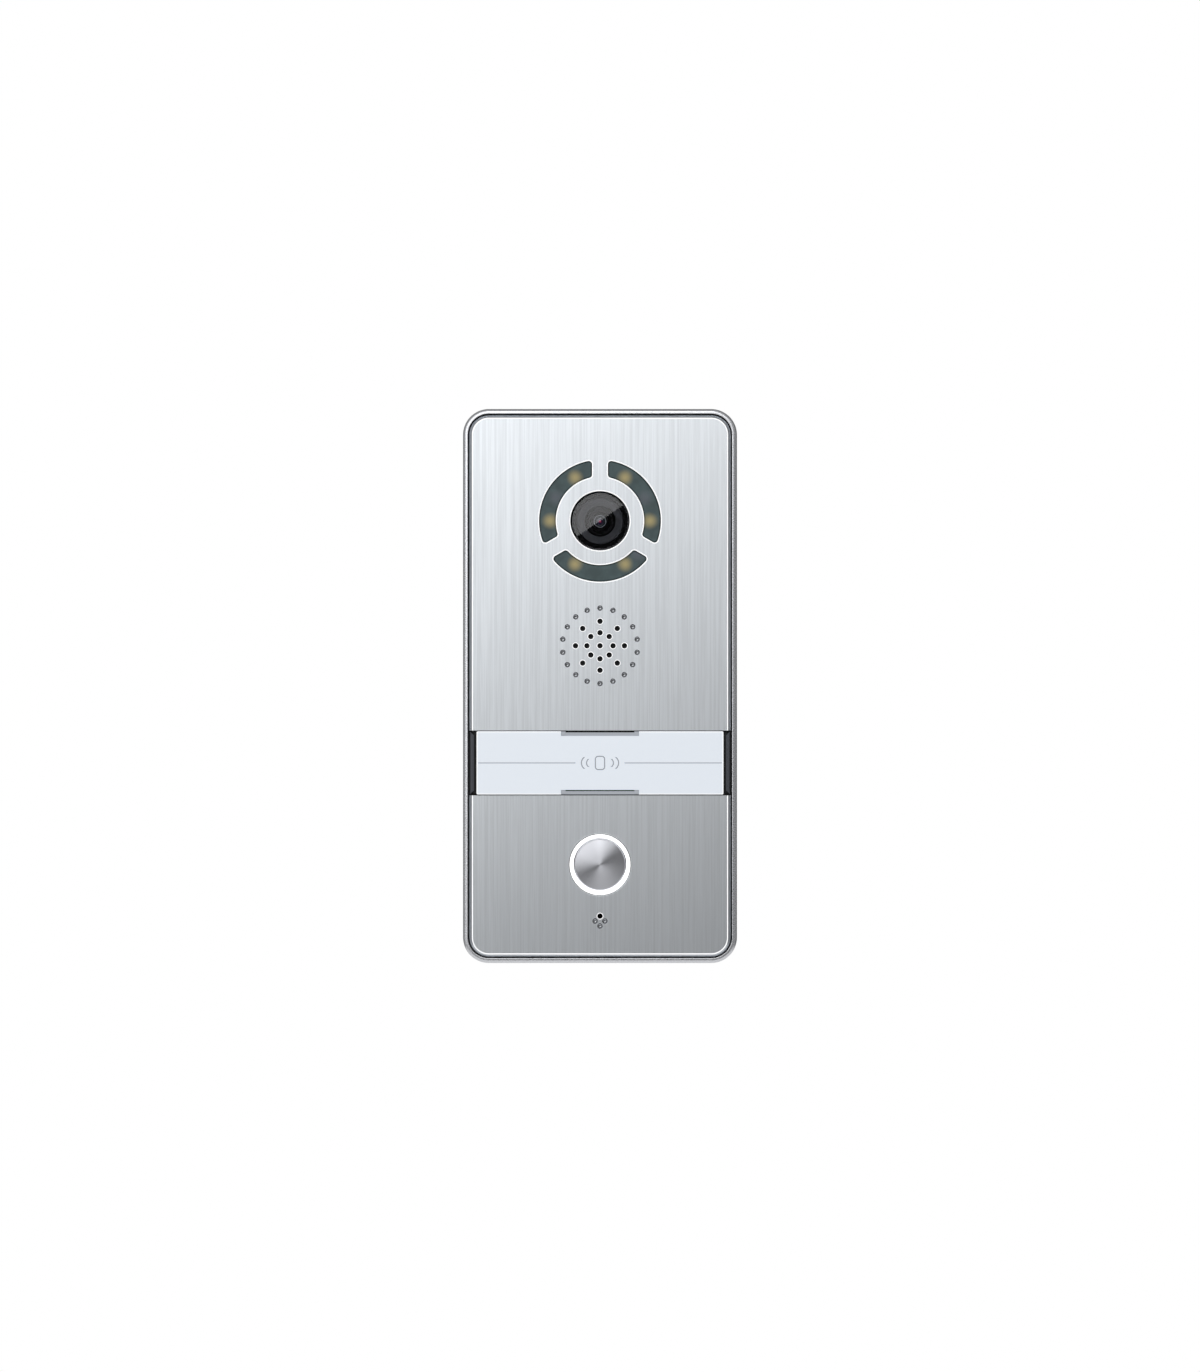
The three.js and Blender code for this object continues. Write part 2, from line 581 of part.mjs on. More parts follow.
function frontFrame() {
  const crest = PLATE_FRONT - RIM_DROP;
  const outer = edgedSlab(panelOutline(0), SIDE_SPLIT, crest, RIM_ROUNDING, RIM_ROUNDING, 2);
  const skirt = cut(outer, slab(panelOutline(RIM_INNER_INSET), SIDE_SPLIT - OVERSHOOT, crest + OVERSHOOT));
  const ledge = ringOf(
    panelOutline(RIM_INNER_INSET / 2), panelOutline(RIM_INNER_INSET + LEDGE_WIDTH), LEDGE_BACK, LEDGE_FRONT,
  );
  let frame = joined(skirt, ledge);
  for (const [x, y] of CORNERS) {
    frame = joined(
      frame,
      disc(BOSS_PAD_RADIUS, LEDGE_BACK, LEDGE_FRONT, x, y, ROUND_SIDES),
      disc(BOSS_RADIUS, COLUMN_FRONT + GAP, LEDGE_FRONT, x, y),
    );
    frame = frame.subtract(disc(SCREW_RADIUS + GAP, COLUMN_FRONT, LEDGE_BACK + 0.8, x, y));
  }
  return frame;
}

function frontChassis() {
  const coverWidth = WIDTH - 2 * COVER_SIDE_MARGIN;
  const guideWidth = coverWidth - 2 * CARD_FRAME;
  const from = CHASSIS_BACK - 1;
  const to = CHASSIS_FRONT + 1;
  let chassis = cut(
    slab(panelOutline(SPIGOT_INSET), CHASSIS_BACK, CHASSIS_FRONT),
    disc(CAMERA_WINDOW_RADIUS + GAP, from, to, 0, CAMERA_Y, FINE_SIDES),
    lightOpenings(from, to),
    disc(SPEAKER_OPENING_RADIUS, from, to, 0, SPEAKER_Y, FINE_SIDES),
    disc(GUIDE_OUTER + GAP, from, to, 0, BUTTON_Y, FINE_SIDES),
    disc(BOOT_RADIUS + GAP, from, to, 0, MICROPHONE_Y, ROUND_SIDES),
    block(guideWidth, NAMEPLATE_HEIGHT - 2 * CARD_FRAME, from, to, 0, NAMEPLATE_Y),
  );
  for (const side of [-1, 1]) chassis = chassis.add(coverRail(side));
  return chassis;
}

// The upright rail at each end of the nameplate, with sloped ends.
function coverRail(side) {
  const inner = WIDTH / 2 - COVER_SIDE_MARGIN + GAP;
  const outer = WIDTH / 2 - PLATE_INSET;
  const half = NAMEPLATE_HEIGHT / 2 - 2 * GAP;
  const slope = 1.4;
  const outline = new THREE.Shape();
  outline.moveTo(inner, half);
  outline.lineTo(inner, -half);
  outline.lineTo(outer - slope, -half);
  outline.lineTo(outer, slope - half);
  outline.lineTo(outer, half - slope);
  outline.lineTo(outer - slope, half);
  outline.closePath();
  const rail = slab(outline, CHASSIS_BACK, PLATE_FRONT - RAIL_DROP);
  return (side > 0 ? rail : rail.rotate([0, 0, 180])).translate(0, NAMEPLATE_Y, 0);
}

function facePlate(fromY, toY) {
  const whole = edgedSlab(
    panelOutline(PLATE_INSET), PLATE_BACK, PLATE_FRONT, PLATE_CHAMFER_WIDTH, PLATE_CHAMFER_DROP, 1,
  );
  const part = block(
    WIDTH, toY - fromY, PLATE_BACK - OVERSHOOT, PLATE_FRONT + OVERSHOOT, 0, (fromY + toY) / 2,
  );
  return whole.intersect(part);
}

function soundHole([x, y]) {
  return disc(SOUND_HOLE_RADIUS, PLATE_BACK - OVERSHOOT, PLATE_FRONT + OVERSHOOT, x, y, HOLE_SIDES);
}

function dimple([x, y]) {
  const above = DIMPLE_DEPTH / 2;
  return taperedDisc(
    0.1, DIMPLE_RADIUS * 1.5, PLATE_FRONT - DIMPLE_DEPTH, PLATE_FRONT + above, x, y, HOLE_SIDES,
  );
}

function upperFrontPlate() {
  const from = PLATE_BACK - 1;
  const to = PLATE_FRONT + 1;
  const holes = [
    [0, SPEAKER_Y],
    ...ringOfCentres(SOUND_INNER_RING, SOUND_RING_HOLES, 0, SPEAKER_Y),
    ...ringOfCentres(SOUND_OUTER_RING, SOUND_RING_HOLES, 0, SPEAKER_Y),
  ];
  const dimples = ringOfCentres(DIMPLE_RING, DIMPLE_COUNT, TURN / 4, SPEAKER_Y);
  return cut(
    facePlate(NAMEPLATE_TOP, HEIGHT / 2),
    disc(CAMERA_WINDOW_RADIUS + GAP, from, to, 0, CAMERA_Y, FINE_SIDES),
    lightOpenings(from, to),
    ...holes.map(soundHole),
    ...dimples.map(dimple),
  );
}

function lowerFrontPlate() {
  const p = MICROPHONE_HOLE_PITCH;
  return cut(
    facePlate(-HEIGHT / 2, NAMEPLATE_BOTTOM),
    disc(BUTTON_HOLE_RADIUS, PLATE_BACK - OVERSHOOT, PLATE_FRONT + OVERSHOOT, 0, BUTTON_Y, FINE_SIDES),
    soundHole([0, MICROPHONE_Y + p]),
    ...[[-p, 0], [p, 0], [0, -p]].map(([x, y]) => dimple([x, MICROPHONE_Y + y])),
  );
}

// ---- Camera, drawn about its own axis ---------------------------------------------------------------

const BEZEL_FRONT = PLATE_BACK - 0.1;
const LENS_FRONT = CHASSIS_BACK + 0.1;
const LENS_BACK = LENS_FRONT - 0.9;
const BARREL_FRONT = LENS_BACK - GAP;
const CAMERA_BOARD_BACK = BOARD_FRONT + 1.3;
const CAMERA_BOARD_FRONT = CAMERA_BOARD_BACK + 1;
const SENSOR_BACK = CAMERA_BOARD_FRONT + GAP;
const SENSOR_FRONT = SENSOR_BACK + 0.8;
const HOLDER_FRONT = SENSOR_BACK + 6;
const CAMERA_BOARD_HEIGHT = 24;
const LIGHT_BOARD_FRONT = CHASSIS_BACK - 4.7;
const LIGHT_BOARD_BACK = LIGHT_BOARD_FRONT - 1.2;

function cameraWindow() {
  const edge = 0.25;
  const front = PLATE_FRONT - 0.1;
  const back = PLATE_BACK + 0.2;
  const radius = CAMERA_WINDOW_RADIUS;
  return turned(
    [[0, back], [radius, back], [radius, front - edge], [radius - edge, front], [0, front]],
    FINE_SIDES,
  );
}

// The stepped black cup behind the glass, with a flange behind the chassis.
function cameraBezel() {
  const tube = CAMERA_WINDOW_RADIUS;
  const flange = tube + 2.5;
  const flangeFront = CHASSIS_BACK - GAP;
  const back = CHASSIS_BACK - 2.5;
  const bore = BARREL_RADIUS + GAP;
  return turned(
    [
      [bore, back], [tube - 1.5, back], [tube - 1.5, flangeFront - 1], [flange, flangeFront - 1],
      [flange, flangeFront],
      [tube, flangeFront], [tube, BEZEL_FRONT], [BEZEL_STEP_RADIUS, BEZEL_FRONT],
      [BEZEL_STEP_RADIUS, BEZEL_FRONT - 0.8],
      [BEZEL_THROAT_RADIUS, BEZEL_FRONT - 0.8], [BEZEL_THROAT_RADIUS - 0.6, CHASSIS_BACK + 0.4],
      [bore, CHASSIS_BACK - 0.4],
    ],
    FINE_SIDES,
  );
}

function lensBarrel() {
  const back = SENSOR_FRONT + GAP + 0.3;
  const mouth = LENS_RADIUS - 0.2;
  return turned(
    [
      [0, back], [BARREL_RADIUS, back], [BARREL_RADIUS, BARREL_FRONT], [mouth, BARREL_FRONT],
      [mouth - 0.4, BARREL_FRONT - 0.6], [0, BARREL_FRONT - 0.6],
    ],
    ROUND_SIDES,
  );
}

function lensFrontElement() {
  const dome = Array.from({ length: 5 }, (_, i) => {
    const angle = (TURN / 4) * (i / 4);
    const height = (LENS_FRONT - LENS_BACK - 0.2) * Math.sin(angle);
    return [LENS_RADIUS * Math.cos(angle), LENS_BACK + 0.2 + height];
  });
  return turned(
    [[0, LENS_BACK], [LENS_RADIUS, LENS_BACK], ...dome.slice(0, -1), [0, LENS_FRONT]], ROUND_SIDES,
  );
}

function lensHolder() {
  const base = block(12, 12, SENSOR_BACK, SENSOR_BACK + 2.6);
  const neck = disc(BARREL_RADIUS + GAP + 1.6, SENSOR_BACK + 2, HOLDER_FRONT, 0, 0, ROUND_SIDES);
  const bore = disc(
    BARREL_RADIUS + GAP, SENSOR_BACK - OVERSHOOT, HOLDER_FRONT + OVERSHOOT, 0, 0, ROUND_SIDES,
  );
  return cut(joined(base, neck), bore, block(7.6, 6.8, SENSOR_BACK - OVERSHOOT, SENSOR_FRONT + GAP));
}

function cameraRibbon() {
  const thick = 0.3;
  const high = CAMERA_BOARD_BACK + 0.3;
  const low = BOARD_FRONT + GAP;
  const startY = -CAMERA_BOARD_HEIGHT / 2 - GAP;
  const outline = new THREE.Shape();
  outline.moveTo(startY, high);
  outline.bezierCurveTo(startY - 5, high, startY - 4, low, startY - 9, low);
  outline.lineTo(startY - 9, low + thick);
  outline.bezierCurveTo(
    startY - 4 + thick, low + thick, startY - 5 + thick, high + thick, startY, high + thick,
  );
  const settings = { depth: 8, bevelEnabled: false, curveSegments: 8 };
  // Drawn as a side view in (y, z), then turned so that its width lies along x.
  const geometry = new THREE.ExtrudeGeometry(outline, settings).rotateY(TURN / 4).rotateX(TURN / 4);
  return solidOf(geometry.translate(-4, 0, 0));
}

function lightWindow(angle) {
  const body = slab(lightOutline(angle, GAP), CHASSIS_BACK - 0.6, PLATE_FRONT - 0.15);
  const foot = slab(lightOutline(angle, -0.7), CHASSIS_BACK - GAP - 1, CHASSIS_BACK - GAP);
  return joined(body, foot);
}

function chip(size, angle, back) {
  const solid = block(size, size, back, back + 0.9);
  return solid.rotate([0, 0, (360 * angle) / TURN]).translate(
    LIGHT_CHIP_RING * Math.cos(angle), LIGHT_CHIP_RING * Math.sin(angle), 0,
  );
}

function lightBoard() {
  return washer(LIGHT_INNER_RADIUS - 1.7, LIGHT_OUTER_RADIUS + 1.5, LIGHT_BOARD_BACK, LIGHT_BOARD_FRONT);
}

function cameraAssembly() {
  const meshes = [
    piece("camera_window", cameraWindow(), "darkGlass"),
    piece("camera_bezel", cameraBezel(), "blackPlastic"),
    piece("lens_barrel", lensBarrel(), "blackPlastic"),
    piece("lens_front_element", lensFrontElement(), "lensGlass"),
    piece("lens_holder", lensHolder(), "darkPlastic"),
    piece("image_sensor", block(6.4, 5.6, SENSOR_BACK, SENSOR_FRONT), "darkGlass"),
    piece(
      "camera_board",
      block(CAMERA_BOARD_WIDTH, CAMERA_BOARD_HEIGHT, CAMERA_BOARD_BACK, CAMERA_BOARD_FRONT),
      "boardGreen",
    ),
    piece("camera_ribbon", cameraRibbon(), "amberFilm"),
    piece("light_board", lightBoard(), "boardWhite"),
  ];
  for (const [name, angle] of Object.entries(LIGHT_WINDOWS)) {
    meshes.push(piece(name, lightWindow(angle), "tintedPlastic"));
  }
  const chipBack = LIGHT_BOARD_FRONT + GAP;
  for (let i = 0; i < FILL_LIGHTS; i++) {
    const angle = (TURN * i) / FILL_LIGHTS;
    meshes.push(piece(`fill_light_${i + 1}`, chip(LIGHT_CHIP_SIZE, angle, chipBack), "lampYellow"));
  }
  // An infrared chip stands beside a fill light in each window, clear of it.
  INFRARED_ANGLES.forEach((angle, i) => {
    const mesh = chip(INFRARED_CHIP_SIZE, angle, chipBack);
    meshes.push(piece(`infrared_light_${i + 1}`, mesh, "lampViolet"));
  });
  return groupAt(0, CAMERA_Y, ...meshes);
}

// ---- Speaker, drawn about its own axis --------------------------------------------------------------

const SPEAKER_GASKET_BACK = CHASSIS_BACK - GAP - 0.8;
const BASKET_FRONT = SPEAKER_GASKET_BACK - GAP;
const BASKET_BACK = BASKET_FRONT - 7.4;

function speakerGasket() {
  return washer(
    SPEAKER_OPENING_RADIUS - 0.7, SPEAKER_RADIUS - GAP, SPEAKER_GASKET_BACK, CHASSIS_BACK - GAP,
  );
}

function speakerBasket() {
  const r = SPEAKER_RADIUS;
  return turned(
    [
      [5.4, BASKET_BACK], [8.6, BASKET_BACK], [r - 2.2, BASKET_FRONT - 2.4], [r, BASKET_FRONT - 1.2],
      [r, BASKET_FRONT],
      [r - 4, BASKET_FRONT], [r - 4, BASKET_FRONT - 1.2], [8.2, BASKET_BACK + 0.9],
      [5.4, BASKET_BACK + 0.9],
    ],
    FINE_SIDES,
  );
}

function speakerCone() {
  const rim = SPEAKER_RADIUS - 4 - GAP;
  const front = BASKET_FRONT - 0.2;
  const throat = BASKET_BACK + 2.6;
  return turned(
    [
      [0, throat], [4.2, throat - 0.4], [rim - 1.2, front - 0.8], [rim, front - 0.8], [rim, front],
      [rim - 1.4, front],
      [4.4, throat + 0.5], [2.6, throat + 1.4], [0, throat + 1.8],
    ],
    FINE_SIDES,
  );
}

function speakerLead() {
  const startZ = BASKET_FRONT - 2;
  const endZ = BOARD_FRONT + GAP + 0.8;
  const route = new THREE.CatmullRomCurve3([
    new THREE.Vector3(SPEAKER_RADIUS - 1, -0.8, startZ - 2.6),
    new THREE.Vector3(SPEAKER_RADIUS + 2.5, -2, startZ - 3.4),
    new THREE.Vector3(SPEAKER_RADIUS + 6, -6, (startZ + endZ) / 2),
    new THREE.Vector3(SPEAKER_RADIUS + 8, -11, endZ + 1),
    new THREE.Vector3(SPEAKER_RADIUS + 8.4, -16, endZ),
  ]);
  return rodAlong(route, 0.7, 8, 14);
}

function speakerAssembly() {
  const mesh = disc(
    SPEAKER_OPENING_RADIUS - GAP, CHASSIS_FRONT - 0.8, CHASSIS_FRONT - 0.2, 0, 0, FINE_SIDES,
  );
  const magnetBack = BOARD_FRONT + 1.7;
  return groupAt(
    0, SPEAKER_Y,
    piece("speaker_mesh", mesh, "blackPlastic"),
    piece("speaker_gasket", speakerGasket(), "foam"),
    piece("speaker_basket", speakerBasket(), "steel"),
    piece("speaker_cone", speakerCone(), "coneBlack"),
    piece("speaker_magnet", disc(8.2, magnetBack, BASKET_BACK - GAP, 0, 0, FINE_SIDES), "steel"),
    piece("speaker_lead", speakerLead(), "leadRed"),
  );
}

// ---- Nameplate, drawn about its own centre ----------------------------------------------------------

function nameplateCover() {
  const width = WIDTH - 2 * COVER_SIDE_MARGIN;
  const height = NAMEPLATE_HEIGHT - 2 * GAP;
  const front = PLATE_FRONT - COVER_DROP;
  const outline = roundedOutline(width, height, COVER_CORNER_RADIUS);
  const body = edgedSlab(outline, PLATE_BACK, front, COVER_EDGE, COVER_EDGE, 1);
  const pocketFront = PLATE_BACK + CARD_THICKNESS + GAP;
  const pocket = block(
    width - 2 * CARD_FRAME, height - 4 * CARD_FRAME, PLATE_BACK - OVERSHOOT, pocketFront,
  );
  const notches = [1, -1].map((side) =>
    block(
      PRY_NOTCH_WIDTH, 2 * PRY_NOTCH_HEIGHT, front - PRY_NOTCH_DEPTH, front + OVERSHOOT,
      0, (side * height) / 2,
    ),
  );
  return cut(body, pocket, ...notches);
}

function nameplateAssembly() {
  const cardWidth = WIDTH - 2 * COVER_SIDE_MARGIN - 2 * CARD_FRAME - 2 * GAP;
  const cardHeight = NAMEPLATE_HEIGHT - 2 * GAP - 4 * CARD_FRAME - 2 * GAP;
  const guideHeight = NAMEPLATE_HEIGHT - 2 * CARD_FRAME - 2 * GAP;
  const boardFront = CHASSIS_BACK - GAP;
  return groupAt(
    0, NAMEPLATE_Y,
    piece("nameplate_cover", nameplateCover(), "whitePlastic"),
    piece("name_card", block(cardWidth, cardHeight, PLATE_BACK, PLATE_BACK + CARD_THICKNESS), "cardPaper"),
    piece(
      "nameplate_light_guide", block(cardWidth, guideHeight, CHASSIS_BACK, CHASSIS_FRONT), "glowPlastic",
    ),
    piece(
      "reader_board",
      block(cardWidth, NAMEPLATE_HEIGHT - 2, boardFront - READER_BOARD_THICKNESS, boardFront),
      "boardGreen",
    ),
  );
}

// ---- Call button, drawn about its own axis ----------------------------------------------------------

function callButtonCap() {
  const inner = CAP_RADIUS - CAP_WALL;
  return turned(
    [
      [0, CAP_CEILING], [inner, CAP_CEILING], [inner, CAP_BACK], [CAP_RADIUS, CAP_BACK],
      [CAP_RADIUS, CAP_FRONT - CAP_CHAMFER], [CAP_RADIUS - CAP_CHAMFER, CAP_FRONT], [0, CAP_FRONT],
    ],
    FINE_SIDES,
  );
}

function buttonLightRing() {
  const foot = LIGHT_RING_OUTER + LIGHT_RING_FOOT;
  const footFront = PLATE_BACK - 0.4;
  const front = PLATE_FRONT + LIGHT_RING_PROUD;
  const edge = 0.25;
  return turned(
    [
      [LIGHT_RING_INNER, GUIDE_FLOOR_FRONT + 1.3], [foot, GUIDE_FLOOR_FRONT + 1.3], [foot, footFront],
      [LIGHT_RING_OUTER, footFront], [LIGHT_RING_OUTER, front - edge], [LIGHT_RING_OUTER - edge, front],
      [LIGHT_RING_INNER + edge, front], [LIGHT_RING_INNER, front - edge],
    ],
    FINE_SIDES,
  );
}

// A cup that guides the stem through its floor.
function buttonGuide() {
  const bore = STEM_RADIUS + GAP;
  return turned(
    [
      [bore, GUIDE_FLOOR_BACK], [GUIDE_OUTER, GUIDE_FLOOR_BACK], [GUIDE_OUTER, CHASSIS_FRONT - 0.1],
      [GUIDE_INNER, CHASSIS_FRONT - 0.1], [GUIDE_INNER, GUIDE_FLOOR_FRONT], [bore, GUIDE_FLOOR_FRONT],
    ],
    FINE_SIDES,
  );
}

function buttonStem() {
  const groove = STEM_RADIUS - 0.6;
  const grooveBack = CLIP_BACK - 0.1;
  const grooveFront = CLIP_BACK + CLIP_THICKNESS + 0.1;
  return turned(
    [
      [0, STEM_BACK], [STEM_RADIUS, STEM_BACK], [STEM_RADIUS, grooveBack], [groove, grooveBack],
      [groove, grooveFront],
      [STEM_RADIUS, grooveFront], [STEM_RADIUS, STEM_FLANGE_BACK],
      [STEM_FLANGE_RADIUS, STEM_FLANGE_BACK], [STEM_FLANGE_RADIUS, STEM_FLANGE_FRONT],
      [0, STEM_FLANGE_FRONT],
    ],
    ROUND_SIDES,
  );
}

class Coil extends THREE.Curve {
  getPoint(t) {
    const angle = TURN * SPRING_TURNS * t;
    const back = GUIDE_FLOOR_FRONT + GAP + SPRING_WIRE_RADIUS;
    const front = STEM_FLANGE_BACK - GAP - SPRING_WIRE_RADIUS;
    return new THREE.Vector3(
      SPRING_RADIUS * Math.cos(angle), SPRING_RADIUS * Math.sin(angle), back + (front - back) * t,
    );
  }
}

function buttonSwitch() {
  const bore = ACTUATOR_RADIUS + GAP;
  const body = block(SWITCH_SIZE, SWITCH_SIZE, SWITCH_BACK, SWITCH_FRONT);
  const boreBack = ACTUATOR_BACK - BUTTON_TRAVEL - GAP;
  return cut(body, disc(bore, boreBack, SWITCH_FRONT + OVERSHOOT, 0, 0, ROUND_SIDES));
}

function buttonAssembly() {
  const clipInner = STEM_RADIUS - 0.3;
  return groupAt(
    0, BUTTON_Y,
    piece("call_button_cap", callButtonCap(), "spunMetal"),
    piece("button_light_ring", buttonLightRing(), "glowPlastic"),
    piece("button_guide", buttonGuide(), "blackPlastic"),
    piece("button_stem", buttonStem(), "whitePlastic"),
    piece(
      "button_clip", washer(clipInner, CLIP_RADIUS, CLIP_BACK, CLIP_BACK + CLIP_THICKNESS, ROUND_SIDES),
      "steel",
    ),
    piece("button_spring", rodAlong(new Coil(), SPRING_WIRE_RADIUS, 5, 12 * SPRING_TURNS), "steel"),
    piece("button_switch_body", buttonSwitch(), "blackPlastic"),
    piece(
      "button_switch_actuator",
      disc(ACTUATOR_RADIUS, ACTUATOR_BACK, ACTUATOR_FRONT, 0, 0, ROUND_SIDES),
      "whitePlastic",
    ),
  );
}

// ---- Microphone, drawn about the middle of its holes ------------------------------------------------

function microphoneBoot() {
  const back = CHASSIS_FRONT - 7.2;
  const cavityFront = back + 3;
  const channel = MICROPHONE_HOLE_PITCH + SOUND_HOLE_RADIUS + GAP;
  return turned(
    [
      [CAPSULE_RADIUS + GAP, back], [BOOT_RADIUS, back], [BOOT_RADIUS, CHASSIS_FRONT],
      [channel, CHASSIS_FRONT],
      [channel, cavityFront], [CAPSULE_RADIUS + GAP, cavityFront],
    ],
    ROUND_SIDES,
  );
}

function microphoneAssembly() {
  const back = CHASSIS_FRONT - 6.7;
  return groupAt(
    0, MICROPHONE_Y,
    piece("microphone_boot", microphoneBoot(), "rubber"),
    piece("microphone_capsule", disc(CAPSULE_RADIUS, back, back + 2.2, 0, 0, ROUND_SIDES), "steel"),
  );
}

// ---- Electronics in the housing ---------------------------------------------------------------------

function mainBoard() {
  const board = block(BOARD_WIDTH, BOARD_HEIGHT, BOARD_BACK, BOARD_FRONT);
  const holes = BOARD_PINS.map(
    ([x, y]) => disc(
      BOARD_PIN_RADIUS + GAP, BOARD_BACK - OVERSHOOT, BOARD_FRONT + OVERSHOOT, x, y, HOLE_SIDES,
    ),
  );
  return cut(board, ...holes);
}

function processorShield() {
  const size = 26;
  const back = BOARD_FRONT + GAP;
  const front = back + 3.2;
  return cut(block(size, size, back, front), block(size - 1, size - 1, back - OVERSHOOT, front - 0.5));
}

// A row of screw terminals on the back of the board, each with a wire entry and a screw well.
function terminalBlock() {
  const ways = 8;
  const pitch = 3.81;
  const front = BOARD_BACK - GAP;
  const back = front - 8.4;
  let body = block(ways * pitch + 1.2, 9, back, front);
  for (let i = 0; i < ways; i++) {
    const x = (i - (ways - 1) / 2) * pitch;
    const wireHole = block(2.4, 2.6, back - OVERSHOOT, back + 4, x, -2.4);
    const screwHole = disc(1.2, back - OVERSHOOT, back + 2.2, x, 2, 10);
    body = cut(body, wireHole, screwHole);
  }
  return body;
}

function tamperSwitch() {
  const body = block(TAMPER_SWITCH_SIZE, TAMPER_SWITCH_SIZE, PANEL_FRONT + GAP, BOARD_BACK - GAP);
  return cut(body, disc(TAMPER_ROD_RADIUS + GAP, PANEL_FRONT - OVERSHOOT, BOARD_BACK, 0, 0));
}

// The rod that the wall holds in. Its foot is drawn just short of the wall.
function tamperPlunger() {
  const back = GAP;
  const front = BOARD_BACK - TAMPER_TRAVEL - 2 * GAP;
  return turned(
    [
      [0, back], [TAMPER_FOOT_RADIUS - 0.5, back], [TAMPER_FOOT_RADIUS, back + 0.5],
      [TAMPER_FOOT_RADIUS, back + TAMPER_FOOT_LENGTH], [TAMPER_ROD_RADIUS, back + TAMPER_FOOT_LENGTH],
      [TAMPER_ROD_RADIUS, front], [0, front],
    ],
    SMALL_SIDES,
  );
}

function electronics() {
  const terminalY = CABLE_WINDOW_Y + CABLE_WINDOW_HEIGHT / 2 - 5.1;
  const relay = block(10, 20, BOARD_FRONT + GAP, BOARD_FRONT + GAP + 9.5);
  return [
    piece("main_board", mainBoard(), "boardGreen"),
    groupAt(-14, NAMEPLATE_Y, piece("processor_shield", processorShield(), "steel")),
    groupAt(0, terminalY, piece("terminal_block", terminalBlock(), "terminalGreen")),
    groupAt(-26, BUTTON_Y - 3, piece("door_relay", relay, "darkPlastic")),
    groupAt(
      TAMPER_X, TAMPER_Y,
      piece("tamper_switch_body", tamperSwitch(), "blackPlastic"),
      piece("tamper_plunger", tamperPlunger(), "whitePlastic"),
    ),
  ];
}

// ---- The whole panel --------------------------------------------------------------------------------

function casing() {
  const meshes = [
    piece("wall_bracket", wallBracket(), "steel"),
    piece("wall_gasket", wallGasket(), "foam"),
    piece("rear_housing", rearHousing(), "darkPlastic"),
    piece("housing_gasket", housingGasket(), "rubber"),
    piece("front_frame", frontFrame(), "silverPaint"),
    piece("front_chassis", frontChassis(), "blackPlastic"),
    piece("upper_front_plate", upperFrontPlate(), "brushedPlate"),
    piece("lower_front_plate", lowerFrontPlate(), "brushedPlate"),
    piece("lock_screw", lockScrew(), "steel"),
  ];
  CORNERS.forEach(([x, y], i) => {
    meshes.push(groupAt(x, y, piece(`housing_screw_${i + 1}`, housingScrew(), "steel")));
  });
  return meshes;
}

const group = new THREE.Group();
group.name = "door_intercom_panel";
group.rotation.x = TURN / 4;
group.add(
  ...casing(),
  cameraAssembly(),
  speakerAssembly(),
  nameplateAssembly(),
  buttonAssembly(),
  microphoneAssembly(),
  ...electronics(),
);

export default group;
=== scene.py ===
"""Looks of a door intercom panel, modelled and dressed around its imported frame.

The panel hangs on a wall: it faces -Y, +Z is up, and the wall is the plane y = 0.
All sizes are in metres.
"""

import json
import logging
import math
from collections.abc import Callable, Iterator, Sequence
from contextlib import contextmanager
from dataclasses import dataclass
from enum import Enum
from itertools import pairwise

import bmesh
import bpy
from mathutils import Matrix, Vector

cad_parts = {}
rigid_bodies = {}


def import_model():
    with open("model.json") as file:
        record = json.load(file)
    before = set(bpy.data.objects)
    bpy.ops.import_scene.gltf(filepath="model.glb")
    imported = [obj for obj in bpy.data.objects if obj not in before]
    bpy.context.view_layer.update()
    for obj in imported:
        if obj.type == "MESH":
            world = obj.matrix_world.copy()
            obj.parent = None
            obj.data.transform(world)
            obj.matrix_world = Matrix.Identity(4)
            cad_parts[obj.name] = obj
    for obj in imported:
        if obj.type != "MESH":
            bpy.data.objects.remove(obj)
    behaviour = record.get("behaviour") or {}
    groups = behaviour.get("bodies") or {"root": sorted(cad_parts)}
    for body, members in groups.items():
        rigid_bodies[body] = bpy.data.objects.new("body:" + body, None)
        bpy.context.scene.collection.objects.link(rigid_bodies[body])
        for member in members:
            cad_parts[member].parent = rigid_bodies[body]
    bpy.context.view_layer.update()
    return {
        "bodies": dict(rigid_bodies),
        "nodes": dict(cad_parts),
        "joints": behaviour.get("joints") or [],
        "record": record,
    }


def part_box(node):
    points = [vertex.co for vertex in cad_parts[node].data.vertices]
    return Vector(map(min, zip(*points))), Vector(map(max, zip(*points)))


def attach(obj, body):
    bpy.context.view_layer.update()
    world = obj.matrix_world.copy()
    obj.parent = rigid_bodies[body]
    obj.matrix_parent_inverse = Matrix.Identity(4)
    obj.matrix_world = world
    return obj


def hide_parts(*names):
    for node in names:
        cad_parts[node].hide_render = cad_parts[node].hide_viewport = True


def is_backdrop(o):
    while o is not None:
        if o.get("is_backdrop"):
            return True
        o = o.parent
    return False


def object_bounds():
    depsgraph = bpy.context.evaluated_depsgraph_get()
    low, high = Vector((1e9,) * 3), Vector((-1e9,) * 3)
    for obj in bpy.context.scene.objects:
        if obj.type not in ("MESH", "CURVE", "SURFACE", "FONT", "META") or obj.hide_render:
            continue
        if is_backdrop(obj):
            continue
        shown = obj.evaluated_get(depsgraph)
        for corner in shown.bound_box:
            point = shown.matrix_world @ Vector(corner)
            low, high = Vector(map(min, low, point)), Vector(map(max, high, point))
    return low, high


MERGE_DISTANCE = 1e-6
TOUCH = 2e-5  # places nearer than this are the same
FACING = 0.9  # how much of a face's normal has to point the right way
CUT_PAST = 0.001  # how far a cutter reaches past the faces that it cuts
QUARTER_TURN = math.pi / 2
FULL_TURN = 2 * math.pi
SMALL_ANGLE = math.radians(28)
NORMAL_WEIGHT = 80
SMALL_SIDES = 24
